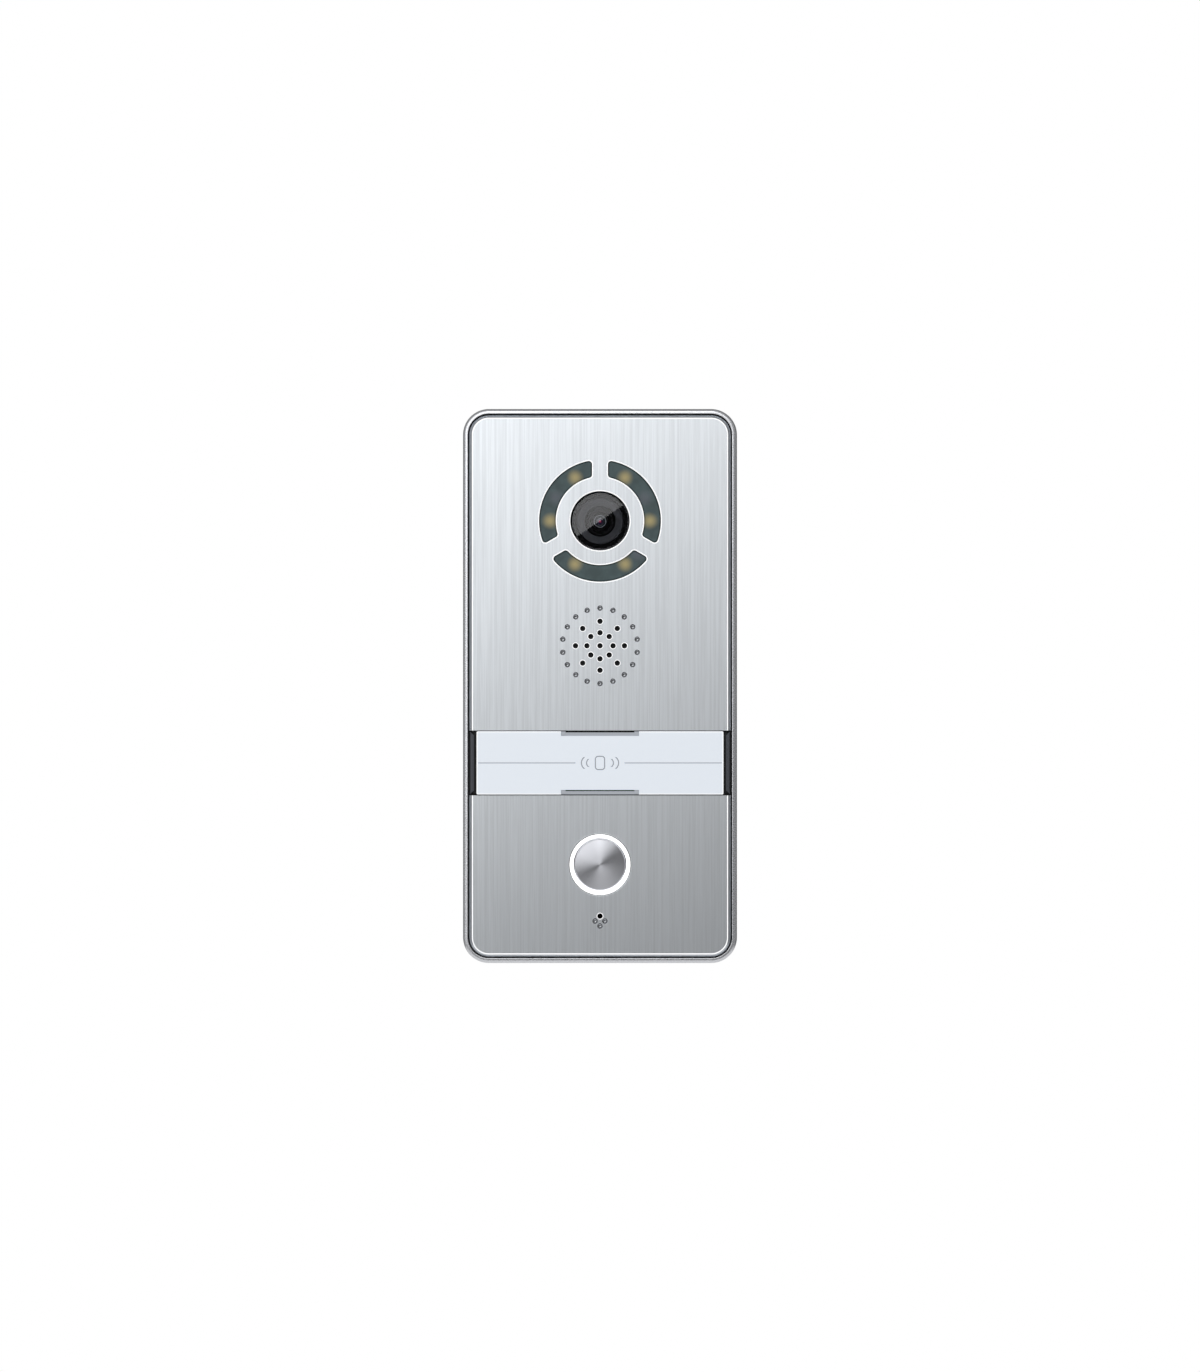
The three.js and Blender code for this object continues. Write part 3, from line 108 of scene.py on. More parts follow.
ROUND_SIDES = 96
FINE_SIDES = 128
NOISE_SPAN = (0.3, 0.7)  # where nearly all of a noise's values lie

log = logging.getLogger("door_intercom")

Profile = Sequence[tuple[float, float]]
Triple = tuple[float, float, float]
Colour = Triple


# ---- Modelling with Blender's own operators ------------------------------------------------------


class Join(Enum):
    """How a tool works on a piece."""

    CUT = "DIFFERENCE"
    KEEP = "INTERSECT"
    ADD = "UNION"


class End(Enum):
    """The two ends of a slab. The front faces -Y."""

    FRONT = -1
    BACK = 1


def clear_selection() -> None:
    """Leaves edit mode if it is open and deselects every object."""
    if bpy.context.object and bpy.context.object.mode != "OBJECT":
        bpy.ops.object.mode_set(mode="OBJECT")
    bpy.ops.object.select_all(action="DESELECT")


def choose(piece: bpy.types.Object) -> None:
    """Makes one piece the only selected and the active object.

    Args:
        piece: the piece.
    """
    clear_selection()
    piece.select_set(True)
    bpy.context.view_layer.objects.active = piece


@contextmanager
def editing(piece: bpy.types.Object, mode: str = "FACE") -> Iterator[None]:
    """Opens a piece in edit mode with nothing selected, and closes it afterwards.

    Args:
        piece: the mesh object to shape.
        mode: the select mode, VERT, EDGE or FACE.
    """
    choose(piece)
    bpy.ops.object.mode_set(mode="EDIT")
    bpy.ops.mesh.select_mode(type=mode)
    bpy.ops.mesh.select_all(action="DESELECT")
    yield
    bpy.ops.object.mode_set(mode="OBJECT")


def pick_faces(piece: bpy.types.Object, wanted: Callable[[bmesh.types.BMFace], bool]) -> int:
    """Selects the wanted faces of the piece that is open in edit mode.

    Args:
        piece: the open mesh object.
        wanted: says whether a face is wanted.

    Returns:
        How many faces are selected.
    """
    bpy.ops.mesh.select_all(action="DESELECT")
    shape = bmesh.from_edit_mesh(piece.data)
    shape.normal_update()
    found = [face for face in shape.faces if wanted(face)]
    for face in found:
        face.select_set(True)
    bmesh.update_edit_mesh(piece.data)
    return len(found)


def pick_edges(piece: bpy.types.Object, wanted: Callable[[Vector, Vector], bool]) -> int:
    """Selects the wanted edges of the piece that is open in edit mode.

    Args:
        piece: the open mesh object.
        wanted: says whether the edge between two points is wanted.

    Returns:
        How many edges are selected.
    """
    bpy.ops.mesh.select_all(action="DESELECT")
    shape = bmesh.from_edit_mesh(piece.data)
    found = [edge for edge in shape.edges if wanted(edge.verts[0].co, edge.verts[1].co)]
    for edge in found:
        edge.select_set(True)
    bmesh.update_edit_mesh(piece.data)
    return len(found)


def newest(name: str) -> bpy.types.Object:
    """Names the object just added and moves its place into its mesh.

    Args:
        name: its new name.

    Returns:
        The object.
    """
    piece = bpy.context.object
    piece.name = name
    piece.data.name = name
    bpy.ops.object.transform_apply(location=True, rotation=True, scale=True)
    return piece


def block(name: str, low: Vector, high: Vector) -> bpy.types.Object:
    """Adds a plain block between two corners, to be shaped further.

    Args:
        name: the piece's name.
        low: its lowest corner.
        high: its highest corner.

    Returns:
        The new object.
    """
    clear_selection()
    bpy.ops.mesh.primitive_cube_add(size=1, location=(low + high) / 2, scale=high - low)
    return newest(name)


def runs_through(start: Vector, end: Vector) -> bool:
    """Whether an edge runs from the back to the front."""
    along = end - start
    return abs(along.x) < TOUCH and abs(along.z) < TOUCH and abs(along.y) > TOUCH


def rounded_slab(
    name: str, low: Vector, high: Vector, radius: float, steps: int = 12,
    wanted: Callable[[Vector, Vector], bool] = runs_through,
) -> bpy.types.Object:
    """Makes a slab that faces -Y, with the corners of its outline rounded.

    Args:
        name: the piece's name.
        low: its lowest corner.
        high: its highest corner.
        radius: the corner radius.
        steps: how many flats a corner is made of.
        wanted: says which of its edges are rounded.

    Returns:
        The new object.
    """
    slab = block(name, low, high)
    with editing(slab, "EDGE"):
        pick_edges(slab, wanted)
        bpy.ops.mesh.bevel(offset=radius, segments=steps, affect="EDGES")
    return slab


def step_end(piece: bpy.types.Object, end: End, steps: Profile) -> None:
    """Insets and raises the end face of a slab, step by step.

    Args:
        piece: the slab.
        end: which end of it.
        steps: for each step the width of the inset and how far the inset face moves outwards.
    """
    side = end.value
    level = max(side * corner.co.y for corner in piece.data.vertices)
    with editing(piece):
        pick_faces(
            piece,
            lambda face: side * face.normal.y > FACING
            and abs(side * face.calc_center_median().y - level) < TOUCH,
        )
        for width, rise in steps:
            if width > 0:
                bpy.ops.mesh.inset(thickness=width, depth=rise, use_even_offset=True)
            else:
                move = {"value": (0, side * rise, 0)}
                bpy.ops.mesh.extrude_region_move(TRANSFORM_OT_translate=move)


def round_over(radius: float, steps: int) -> list[tuple[float, float]]:
    """Gives the steps that round the edge of a slab's end.

    Args:
        radius: the rounding's radius.
        steps: how many flats it is made of.

    Returns:
        For each flat the width of its inset and its rise.
    """
    angles = [QUARTER_TURN * i / steps for i in range(steps + 1)]
    points = [(radius * (1 - math.cos(a)), radius * math.sin(a)) for a in angles]
    return [(to[0] - at[0], to[1] - at[1]) for at, to in pairwise(points)]


def turned(
    name: str, centre: Vector, profile: Profile, sides: int = ROUND_SIDES
) -> bpy.types.Object:
    """Turns a profile round an axis that runs along Y.

    Args:
        name: the piece's name.
        centre: a point on the axis.
        profile: points of radius and y. A profile that ends where it starts makes a ring.
        sides: how many sides the round has.

    Returns:
        The new object.
    """
    radius, start = profile[0]
    clear_selection()
    bpy.ops.mesh.primitive_circle_add(
        vertices=sides, radius=radius, fill_type="NGON",
        location=(centre.x, start, centre.z), rotation=(QUARTER_TURN, 0, 0),
    )
    piece = newest(name)
    is_ring = profile[0] == profile[-1]
    with editing(piece):
        bpy.ops.mesh.select_all(action="SELECT")
        for (at_radius, at), (to_radius, to) in pairwise(profile):
            move = {"value": (0, to - at, 0)}
            bpy.ops.mesh.extrude_region_move(TRANSFORM_OT_translate=move)
            scale = to_radius / at_radius
            bpy.ops.transform.resize(
                value=(scale, 1, scale), center_override=(centre.x, to, centre.z)
            )
        if is_ring:
            pick_faces(piece, lambda face: len(face.verts) == sides)
            bpy.ops.mesh.delete(type="FACE")
        bpy.ops.mesh.select_all(action="SELECT")
        bpy.ops.mesh.remove_doubles(threshold=MERGE_DISTANCE)
        bpy.ops.mesh.normals_make_consistent(inside=False)
    return piece


def lofted(
    name: str, outline: Callable[[float], list[Vector]], levels: Profile
) -> bpy.types.Object:
    """Makes a solid from one outline that grows or shrinks from level to level.

    Args:
        name: the piece's name.
        outline: gives the outline's points, in the XZ plane, for a clearance round it.
        levels: the clearance and the y of each level, from one end to the other.

    Returns:
        The new object.
    """
    at = outline(levels[0][0])
    clear_selection()
    bpy.ops.mesh.primitive_circle_add(vertices=len(at), fill_type="NGON")
    piece = newest(name)
    for vertex, point in zip(piece.data.vertices, at):
        vertex.co = (point.x, levels[0][1], point.z)
    with editing(piece, "VERT"):
        bpy.ops.mesh.select_all(action="SELECT")
        for (_, start), (clearance, end) in pairwise(levels):
            bpy.ops.mesh.extrude_region_move(
                TRANSFORM_OT_translate={"value": (0, end - start, 0)}
            )
            shape = bmesh.from_edit_mesh(piece.data)
            to = outline(clearance)
            for vertex in [v for v in shape.verts if v.select]:
                flat = Vector((vertex.co.x, 0, vertex.co.z))
                place = min(range(len(at)), key=lambda i: (at[i] - flat).length_squared)
                vertex.co = (to[place].x, end, to[place].z)
            bmesh.update_edit_mesh(piece.data)
            at = to
        bpy.ops.mesh.select_all(action="SELECT")
        bpy.ops.mesh.normals_make_consistent(inside=False)
    return piece


def arc(centre: Vector, radius: float, start: float, end: float, steps: int) -> list[Vector]:
    """Gives points along an arc in the XZ plane, the shorter way round, with both ends.

    Args:
        centre: the arc's centre.
        radius: its radius.
        start: the angle of its first point.
        end: the angle of its last point.
        steps: how many flats it is made of.

    Returns:
        The points.
    """
    turn = (end - start + math.pi) % FULL_TURN - math.pi
    angles = [start + turn * i / steps for i in range(steps + 1)]
    return [centre + Vector((math.cos(a), 0, math.sin(a))) * radius for a in angles]


def use_modifier(piece: bpy.types.Object, kind: str, **values: object) -> None:
    """Adds a modifier to a piece and applies it.

    Args:
        piece: the piece that it shapes.
        kind: the modifier's type.
        values: its settings.
    """
    choose(piece)
    modifier = piece.modifiers.new(kind.title(), kind)
    for key, value in values.items():
        setattr(modifier, key, value)
    bpy.ops.object.modifier_apply(modifier=modifier.name)


def combine(piece: bpy.types.Object, join: Join, *tools: bpy.types.Object) -> None:
    """Cuts tools out of a piece or joins them to it, and removes them.

    Args:
        piece: the piece that stays.
        join: how they work on it.
        tools: the solids that it is worked with.
    """
    for tool in tools:
        use_modifier(piece, "BOOLEAN", object=tool, operation=join.value, solver="EXACT")
        bpy.data.objects.remove(tool)


def moved_copy(piece: bpy.types.Object, name: str, offset: Vector) -> bpy.types.Object:
    """Copies a piece with its own mesh, and moves the copy's mesh.

    Args:
        piece: the piece to copy.
        name: the copy's name.
        offset: how far the copy moves.

    Returns:
        The copy.
    """
    copy = piece.copy()
    copy.data = piece.data.copy()
    copy.name = name
    copy.data.name = name
    bpy.context.scene.collection.objects.link(copy)
    copy.data.transform(Matrix.Translation(offset))
    return copy


def repeated(piece: bpy.types.Object, offsets: Sequence[Vector]) -> bpy.types.Object:
    """Joins copies of a piece at several places into one object, without the first one.

    Args:
        piece: the piece that repeats, which is removed.
        offsets: where the copies go, measured from it.

    Returns:
        The joined copies.
    """
    copies = [moved_copy(piece, piece.name, offset) for offset in offsets]
    bpy.data.objects.remove(piece)
    choose(copies[0])
    for copy in copies:
        copy.select_set(True)
    if len(copies) > 1:
        bpy.ops.object.join()
    return copies[0]


def ring_offsets(radius: float, count: int, first: float = QUARTER_TURN) -> list[Vector]:
    """Gives evenly spaced places on a ring in the XZ plane.

    Args:
        radius: the ring's radius.
        count: how many places.
        first: the angle of the first one.

    Returns:
        The places, measured from the ring's centre.
    """
    angles = [first + FULL_TURN * i / count for i in range(count)]
    return [Vector((radius * math.cos(a), 0, radius * math.sin(a))) for a in angles]


def cut_off(piece: bpy.types.Object, level: float, keep_above: bool) -> None:
    """Cuts a piece along a level plane and closes the cut.

    Args:
        piece: the piece to cut.
        level: the plane's height.
        keep_above: whether the part above the plane is the one kept.
    """
    with editing(piece, "VERT"):
        bpy.ops.mesh.select_all(action="SELECT")
        bpy.ops.mesh.bisect(
            plane_co=(0, 0, level), plane_no=(0, 0, 1), use_fill=True,
            clear_inner=keep_above, clear_outer=not keep_above,
        )


def smooth(piece: bpy.types.Object, angle: float = SMALL_ANGLE) -> None:
    """Shades a piece smooth, and keeps its flats flat.

    Args:
        piece: the piece.
        angle: edges sharper than this stay sharp.
    """
    choose(piece)
    bpy.ops.object.shade_smooth_by_angle(angle=angle)
    use_modifier(piece, "WEIGHTED_NORMAL", keep_sharp=True, weight=NORMAL_WEIGHT)


def dress(
    piece: bpy.types.Object, slot: str, finish: "Finish", body: str, *nodes: str
) -> bpy.types.Object:
    """Gives a new piece its finish, its body and the CAD nodes that it stands for.

    Args:
        piece: the new piece.
        slot: the record's material slot; not used.
        finish: its main finish.
        body: the body that it rides on.
        nodes: the CAD nodes that it replaces.

    Returns:
        The piece.
    """
    piece.data.materials.append(finish.material())
    if nodes:
        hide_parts(*nodes)
    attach(piece, body)
    return piece


def paint_faces(
    piece: bpy.types.Object, finish: "Finish", wanted: Callable[[bpy.types.MeshPolygon], bool]
) -> None:
    """Gives some faces of a dressed piece a second finish.

    Args:
        piece: the piece.
        finish: the finish of those faces.
        wanted: says whether a face gets it.
    """
    piece.data.materials.append(finish.material())
    index = len(piece.data.materials) - 1
    for face in piece.data.polygons:
        if wanted(face):
            face.material_index = index


# ---- Finishes ------------------------------------------------------------------------------------


def shaded(colour: Colour, factor: float) -> Colour:
    """Makes a colour darker, or lighter up to white."""
    return tuple(min(1.0, channel * factor) for channel in colour)


class Nodes:
    """Adds nodes to a material and links them."""

    def __init__(self, name: str) -> None:
        """Starts a material that holds one Principled BSDF.

        Args:
            name: its name.
        """
        self.material = bpy.data.materials.new(name)
        self.material.use_nodes = True
        self.tree = self.material.node_tree
        self.shader = self.tree.nodes["Principled BSDF"]
        self.place = self.add("ShaderNodeTexCoord").outputs["Object"]

    def add(self, kind: str, **values: object) -> bpy.types.Node:
        """Adds one node.

        Args:
            kind: the node's type.
            values: its settings.

        Returns:
            The node.
        """
        node = self.tree.nodes.new(kind)
        for key, value in values.items():
            setattr(node, key, value)
        return node

    def link(self, source: bpy.types.NodeSocket, target: bpy.types.NodeSocket) -> None:
        """Links an output to an input."""
        self.tree.links.new(source, target)

    def set(self, **values: object) -> None:
        """Sets sockets of the shader.

        Args:
            values: their values, by name, with underscores for spaces.
        """
        for key, value in values.items():
            self.shader.inputs[key.replace("_", " ")].default_value = value

    def stretched(self, scale: Triple, centre: Triple = (0, 0, 0)) -> bpy.types.NodeSocket:
        """Gives object coordinates about a centre, scaled along each axis.

        Args:
            scale: how much each axis is scaled.
            centre: the point that becomes the origin.

        Returns:
            The socket with the new coordinates.
        """
        offset = self.add("ShaderNodeVectorMath", operation="SUBTRACT")
        offset.inputs[1].default_value = centre
        self.link(self.place, offset.inputs[0])
        scaled = self.add("ShaderNodeVectorMath", operation="MULTIPLY")
        scaled.inputs[1].default_value = scale
        self.link(offset.outputs[0], scaled.inputs[0])
        return scaled.outputs[0]

    def noise(
        self, scale: Triple, detail: float = 3.0, roughness: float = 0.55
    ) -> bpy.types.NodeSocket:
        """Gives a noise value between 0 and 1, stretched along the axes.

        Args:
            scale: how many features there are in a metre, along each axis.
            detail: how many octaves it has.
            roughness: how strong the fine ones are.

        Returns:
            The socket with the value.
        """
        node = self.add("ShaderNodeTexNoise")
        node.inputs["Scale"].default_value = 1.0
        node.inputs["Detail"].default_value = detail
        node.inputs["Roughness"].default_value = roughness
        self.link(self.stretched(scale), node.inputs["Vector"])
        return node.outputs["Fac"]

    def length(self, vector: bpy.types.NodeSocket) -> bpy.types.NodeSocket:
        """Gives the length of a vector.

        Args:
            vector: the socket with the vector.

        Returns:
            The socket with its length.
        """
        node = self.add("ShaderNodeVectorMath", operation="LENGTH")
        self.link(vector, node.inputs[0])
        return node.outputs["Value"]

    def math(
        self, operation: str, first: bpy.types.NodeSocket | float,
        second: bpy.types.NodeSocket | float = 0.0,
    ) -> bpy.types.NodeSocket:
        """Works out one value from one or two others.

        Args:
            operation: the Math node's operation.
            first: the first value or socket.
            second: the second one.

        Returns:
            The socket with the result.
        """
        node = self.add("ShaderNodeMath", operation=operation)
        for value, socket in zip((first, second), node.inputs):
            if isinstance(value, (int, float)):
                socket.default_value = value
            else:
                self.link(value, socket)
        return node.outputs[0]

    def ranged(
        self, value: bpy.types.NodeSocket, low: float, high: float,
        to_low: float, to_high: float, smooth_step: bool = False,
    ) -> bpy.types.NodeSocket:
        """Maps a value from one range to another.

        Args:
            value: the socket to map.
            low: the value that becomes to_low.
            high: the value that becomes to_high.
            to_low: the result at low.
            to_high: the result at high.
            smooth_step: whether the change is eased at both ends.

        Returns:
            The socket with the result.
        """
        node = self.add("ShaderNodeMapRange")
        node.interpolation_type = "SMOOTHSTEP" if smooth_step else "LINEAR"
        self.link(value, node.inputs["Value"])
        for key, number in zip(
            ("From Min", "From Max", "To Min", "To Max"), (low, high, to_low, to_high)
        ):
            node.inputs[key].default_value = number
        return node.outputs["Result"]

    def from_noise(
        self, value: bpy.types.NodeSocket, to_low: float, to_high: float
    ) -> bpy.types.NodeSocket:
        """Maps a noise value to a range of its own."""
        return self.ranged(value, *NOISE_SPAN, to_low, to_high)

    def mixed(
        self, factor: bpy.types.NodeSocket, first: Colour | bpy.types.NodeSocket,
        second: Colour | bpy.types.NodeSocket,
    ) -> bpy.types.NodeSocket:
        """Mixes two colours.

        Args:
            factor: 0 gives the first colour and 1 the second.
            first: the first colour, or a socket with it.
            second: the second one.

        Returns:
            The socket with the mixed colour.
        """
        node = self.add("ShaderNodeMix", data_type="RGBA")
        self.link(factor, node.inputs["Factor"])
        sockets = [socket for socket in node.inputs if socket.type == "RGBA"]
        for value, socket in zip((first, second), sockets):
            if isinstance(value, tuple):
                socket.default_value = (*value, 1.0)
            else:
                self.link(value, socket)
        return [socket for socket in node.outputs if socket.type == "RGBA"][0]

    def bump(self, height: bpy.types.NodeSocket, distance: float, strength: float = 1.0) -> None:
        """Gives the shader a bump from a height value.

        Args:
            height: the socket with the height, from 0 to 1.
            distance: the depth of the relief.
            strength: how much of it shows.
        """
        node = self.add("ShaderNodeBump")
        node.inputs["Distance"].default_value = distance
        node.inputs["Strength"].default_value = strength
        self.link(height, node.inputs["Height"])
        self.link(node.outputs["Normal"], self.shader.inputs["Normal"])

    def colour(self, source: bpy.types.NodeSocket) -> None:
        """Links the shader's colour."""
        self.link(source, self.shader.inputs["Base Color"])

    def roughness(self, source: bpy.types.NodeSocket) -> None:
        """Links the shader's roughness."""
        self.link(source, self.shader.inputs["Roughness"])


def finished(name: str, build: Callable[[Nodes], None]) -> bpy.types.Material:
    """Gives the material with a name, built the first time that it is asked for.

    Args:
        name: the material's name.
        build: adds its nodes.

    Returns:
        The material.
    """
    full_name = f"{name}_finish"
    found = bpy.data.materials.get(full_name)
    if found:
        return found
    nodes = Nodes(full_name)
    build(nodes)
    return nodes.material


@dataclass(frozen=True)
class Finish:
    """A finish that every piece can be given. Its name is its material's."""

    name: str

    def material(self) -> bpy.types.Material:
        """Gives the finish's material."""
        return finished(self.name, self.build)

    def build(self, nodes: Nodes) -> None:
        """Adds the nodes of the finish."""
        raise NotImplementedError


@dataclass(frozen=True)
class Moulded(Finish):
    """Moulded plastic, rubber, foam or paper, with a fine uneven surface."""

    base: Colour
    gloss: float = 0.45
    grain: float = 2500.0
    relief: float = 0.00003
    variation: float = 0.12
    specular: float = 0.5
    glow: float = 0.0
    glow_colour: Colour = (1.0, 1.0, 1.0)
    broad_share: float = 1 / 40
    gloss_spread: tuple[float, float] = (-0.05, 0.07)

    def build(self, nodes: Nodes) -> None:
        """Adds an even colour with a fine grain and slight wear.

        Args:
            nodes: the material's nodes.
        """
        fine = nodes.noise((self.grain,) * 3)
        broad = nodes.noise((self.grain * self.broad_share,) * 3, detail=4.0)
        both = nodes.math("MULTIPLY", nodes.math("ADD", fine, broad), 0.5)
        darker, lighter = (shaded(self.base, 1 + side * self.variation) for side in (-1, 1))
        nodes.colour(nodes.mixed(both, darker, lighter))
        smoothest, roughest = (self.gloss + spread for spread in self.gloss_spread)
        nodes.roughness(nodes.from_noise(broad, smoothest, roughest))
        nodes.bump(fine, self.relief)
        nodes.set(Specular_IOR_Level=self.specular)
        if self.glow:
            nodes.set(Emission_Color=(*self.glow_colour, 1.0), Emission_Strength=self.glow)


@dataclass(frozen=True)
class Metal(Finish):
    """Bare or plated metal with a fine uneven surface."""

    base: Colour
    gloss: float = 0.3
    grain: Triple = (900.0, 900.0, 900.0)
    relief: float = 0.00002
    variation: float = 0.05
    metalness: float = 1.0
    gloss_spread: float = 0.05

    def build(self, nodes: Nodes) -> None:
        """Adds the metal's colour, streaks and relief.

        Args:
            nodes: the material's nodes.
        """
        fine = nodes.noise(self.grain, detail=4.0)
        darker, lighter = (shaded(self.base, 1 + side * self.variation) for side in (-1, 1))
        nodes.colour(nodes.mixed(fine, darker, lighter))
        smoothest, roughest = (self.gloss + side * self.gloss_spread for side in (-1, 1))
        nodes.roughness(nodes.from_noise(fine, smoothest, roughest))
        nodes.bump(fine, self.relief)
        nodes.set(Metallic=self.metalness)


@dataclass(frozen=True)
class BrushedPlate(Finish):
    """Anodised aluminium, brushed up and down."""

    base: Colour = (0.775, 0.81, 0.845)
    darker: float = 0.94
    lighter: float = 1.05
    contrast: tuple[float, float] = (0.42, 0.58)
    gloss: float = 0.33
    gloss_spread: float = 0.015
    streak: float = 0.55
    across: float = 1500.0
    along: float = 30.0
    relief: float = 0.0000006

    def build(self, nodes: Nodes) -> None:
        """Adds two layers of upright grain to the colour, roughness and relief.

        Args:
            nodes: the material's nodes.
        """
        fine = nodes.noise((self.across, 1.0, self.along), roughness=0.7)
        coarse = nodes.noise((self.across / 2, 1.0, self.along / 3), roughness=0.7)
        grain = nodes.math("MULTIPLY", nodes.math("ADD", fine, coarse), 0.5)
        spread = nodes.ranged(grain, *self.contrast, 0.0, 1.0)
        dark, light = shaded(self.base, self.darker), shaded(self.base, self.lighter)
        nodes.colour(nodes.mixed(spread, dark, light))
        roughest, smoothest = (self.gloss + side * self.gloss_spread for side in (1, -1))
        nodes.roughness(nodes.from_noise(grain, roughest, smoothest))
        nodes.bump(grain, self.relief)
        nodes.set(Metallic=1.0, Anisotropic=self.streak)
        tangent = nodes.add("ShaderNodeCombineXYZ")
        tangent.inputs["X"].default_value = 1.0
        nodes.link(tangent.outputs[0], nodes.shader.inputs["Tangent"])


@dataclass(frozen=True)
class SpunMetal(Finish):
    """Aluminium turned to fine rings about an axis along Y."""

    centre: Triple
    base: Colour = (0.64, 0.65, 0.69)
    darker: float = 0.93
    lighter: float = 1.05
    gloss: float = 0.30
    gloss_spread: float = 0.06
    streak: float = 0.85
    ring_pitch: float = 0.00016
    relief: float = 0.000003

    def build(self, nodes: Nodes) -> None:
        """Adds the rings, and the radial direction that light streaks along.

        Args:
            nodes: the material's nodes.
        """
        about = nodes.stretched((1.0, 0.0, 1.0), self.centre)
        turning = nodes.add("ShaderNodeTexNoise", noise_dimensions="1D")
        turning.inputs["Scale"].default_value = 1 / self.ring_pitch
        turning.inputs["Detail"].default_value = 2.0
        nodes.link(nodes.length(about), turning.inputs["W"])
        rings = turning.outputs["Fac"]
        dark, light = shaded(self.base, self.darker), shaded(self.base, self.lighter)
        nodes.colour(nodes.mixed(rings, dark, light))
        nodes.roughness(nodes.from_noise(rings, self.gloss, self.gloss + self.gloss_spread))
        nodes.bump(rings, self.relief)
        nodes.set(Metallic=1.0, Anisotropic=self.streak)
        outward = nodes.add("ShaderNodeVectorMath", operation="NORMALIZE")
        nodes.link(about, outward.inputs[0])
        nodes.link(outward.outputs[0], nodes.shader.inputs["Tangent"])


@dataclass(frozen=True)
class Clear(Finish):
    """Clear glass or plastic, with the faintest haze."""

    tint: Colour = (1.0, 1.0, 1.0)
    bending: float = 1.45
    gloss: float = 0.0
    haze: float = 0.03
    patches: float = 160.0

    def build(self, nodes: Nodes) -> None:
        """Adds a tint that varies slightly, as a wiped surface does.

        Args:
            nodes: the material's nodes.
        """
        haze = nodes.noise((self.patches,) * 3)
        nodes.colour(nodes.mixed(haze, shaded(self.tint, 1 - self.haze), self.tint))
        nodes.set(Transmission_Weight=1.0, IOR=self.bending, Roughness=self.gloss)


@dataclass(frozen=True)
class CoatedLens(Finish):
    """A dark coated lens with a painted red glint on its axis, and a faint painted glow over its
    face.
    """

    centre: Triple
    inner: Colour = (0.035, 0.012, 0.05)
    outer: Colour = (0.008, 0.028, 0.024)
    coating_span: tuple[float, float] = (0.0005, 0.0018)
    # The glint is a painted reflection, and glow paints faint light over the whole lens.
    painted_glint: Colour = (0.75, 0.10, 0.20)
    glint_span: tuple[float, float] = (0.0002, 0.0005)
    glow: float = 0.3
    speckle: float = 3000.0
    gloss: tuple[float, float] = (0.02, 0.05)

    def build(self, nodes: Nodes) -> None:
        """Adds a coating that turns from violet to green outwards, and the painted glint; both also
        glow faintly as painted light.

        Args:
            nodes: the material's nodes.
        """
        radius = nodes.length(nodes.stretched((1.0, 0.0, 1.0), self.centre))
        outward = nodes.ranged(radius, *self.coating_span, 0.0, 1.0, True)
        near = nodes.ranged(radius, *self.glint_span, 1.0, 0.0, True)
        colour = nodes.mixed(near, nodes.mixed(outward, self.inner, self.outer), self.painted_glint)
        nodes.colour(colour)
        nodes.link(colour, nodes.shader.inputs["Emission Color"])
        nodes.roughness(nodes.ranged(nodes.noise((self.speckle,) * 3), 0.0, 1.0, *self.gloss))
        nodes.set(Emission_Strength=self.glow, Coat_Weight=1.0, Coat_Roughness=0.02)


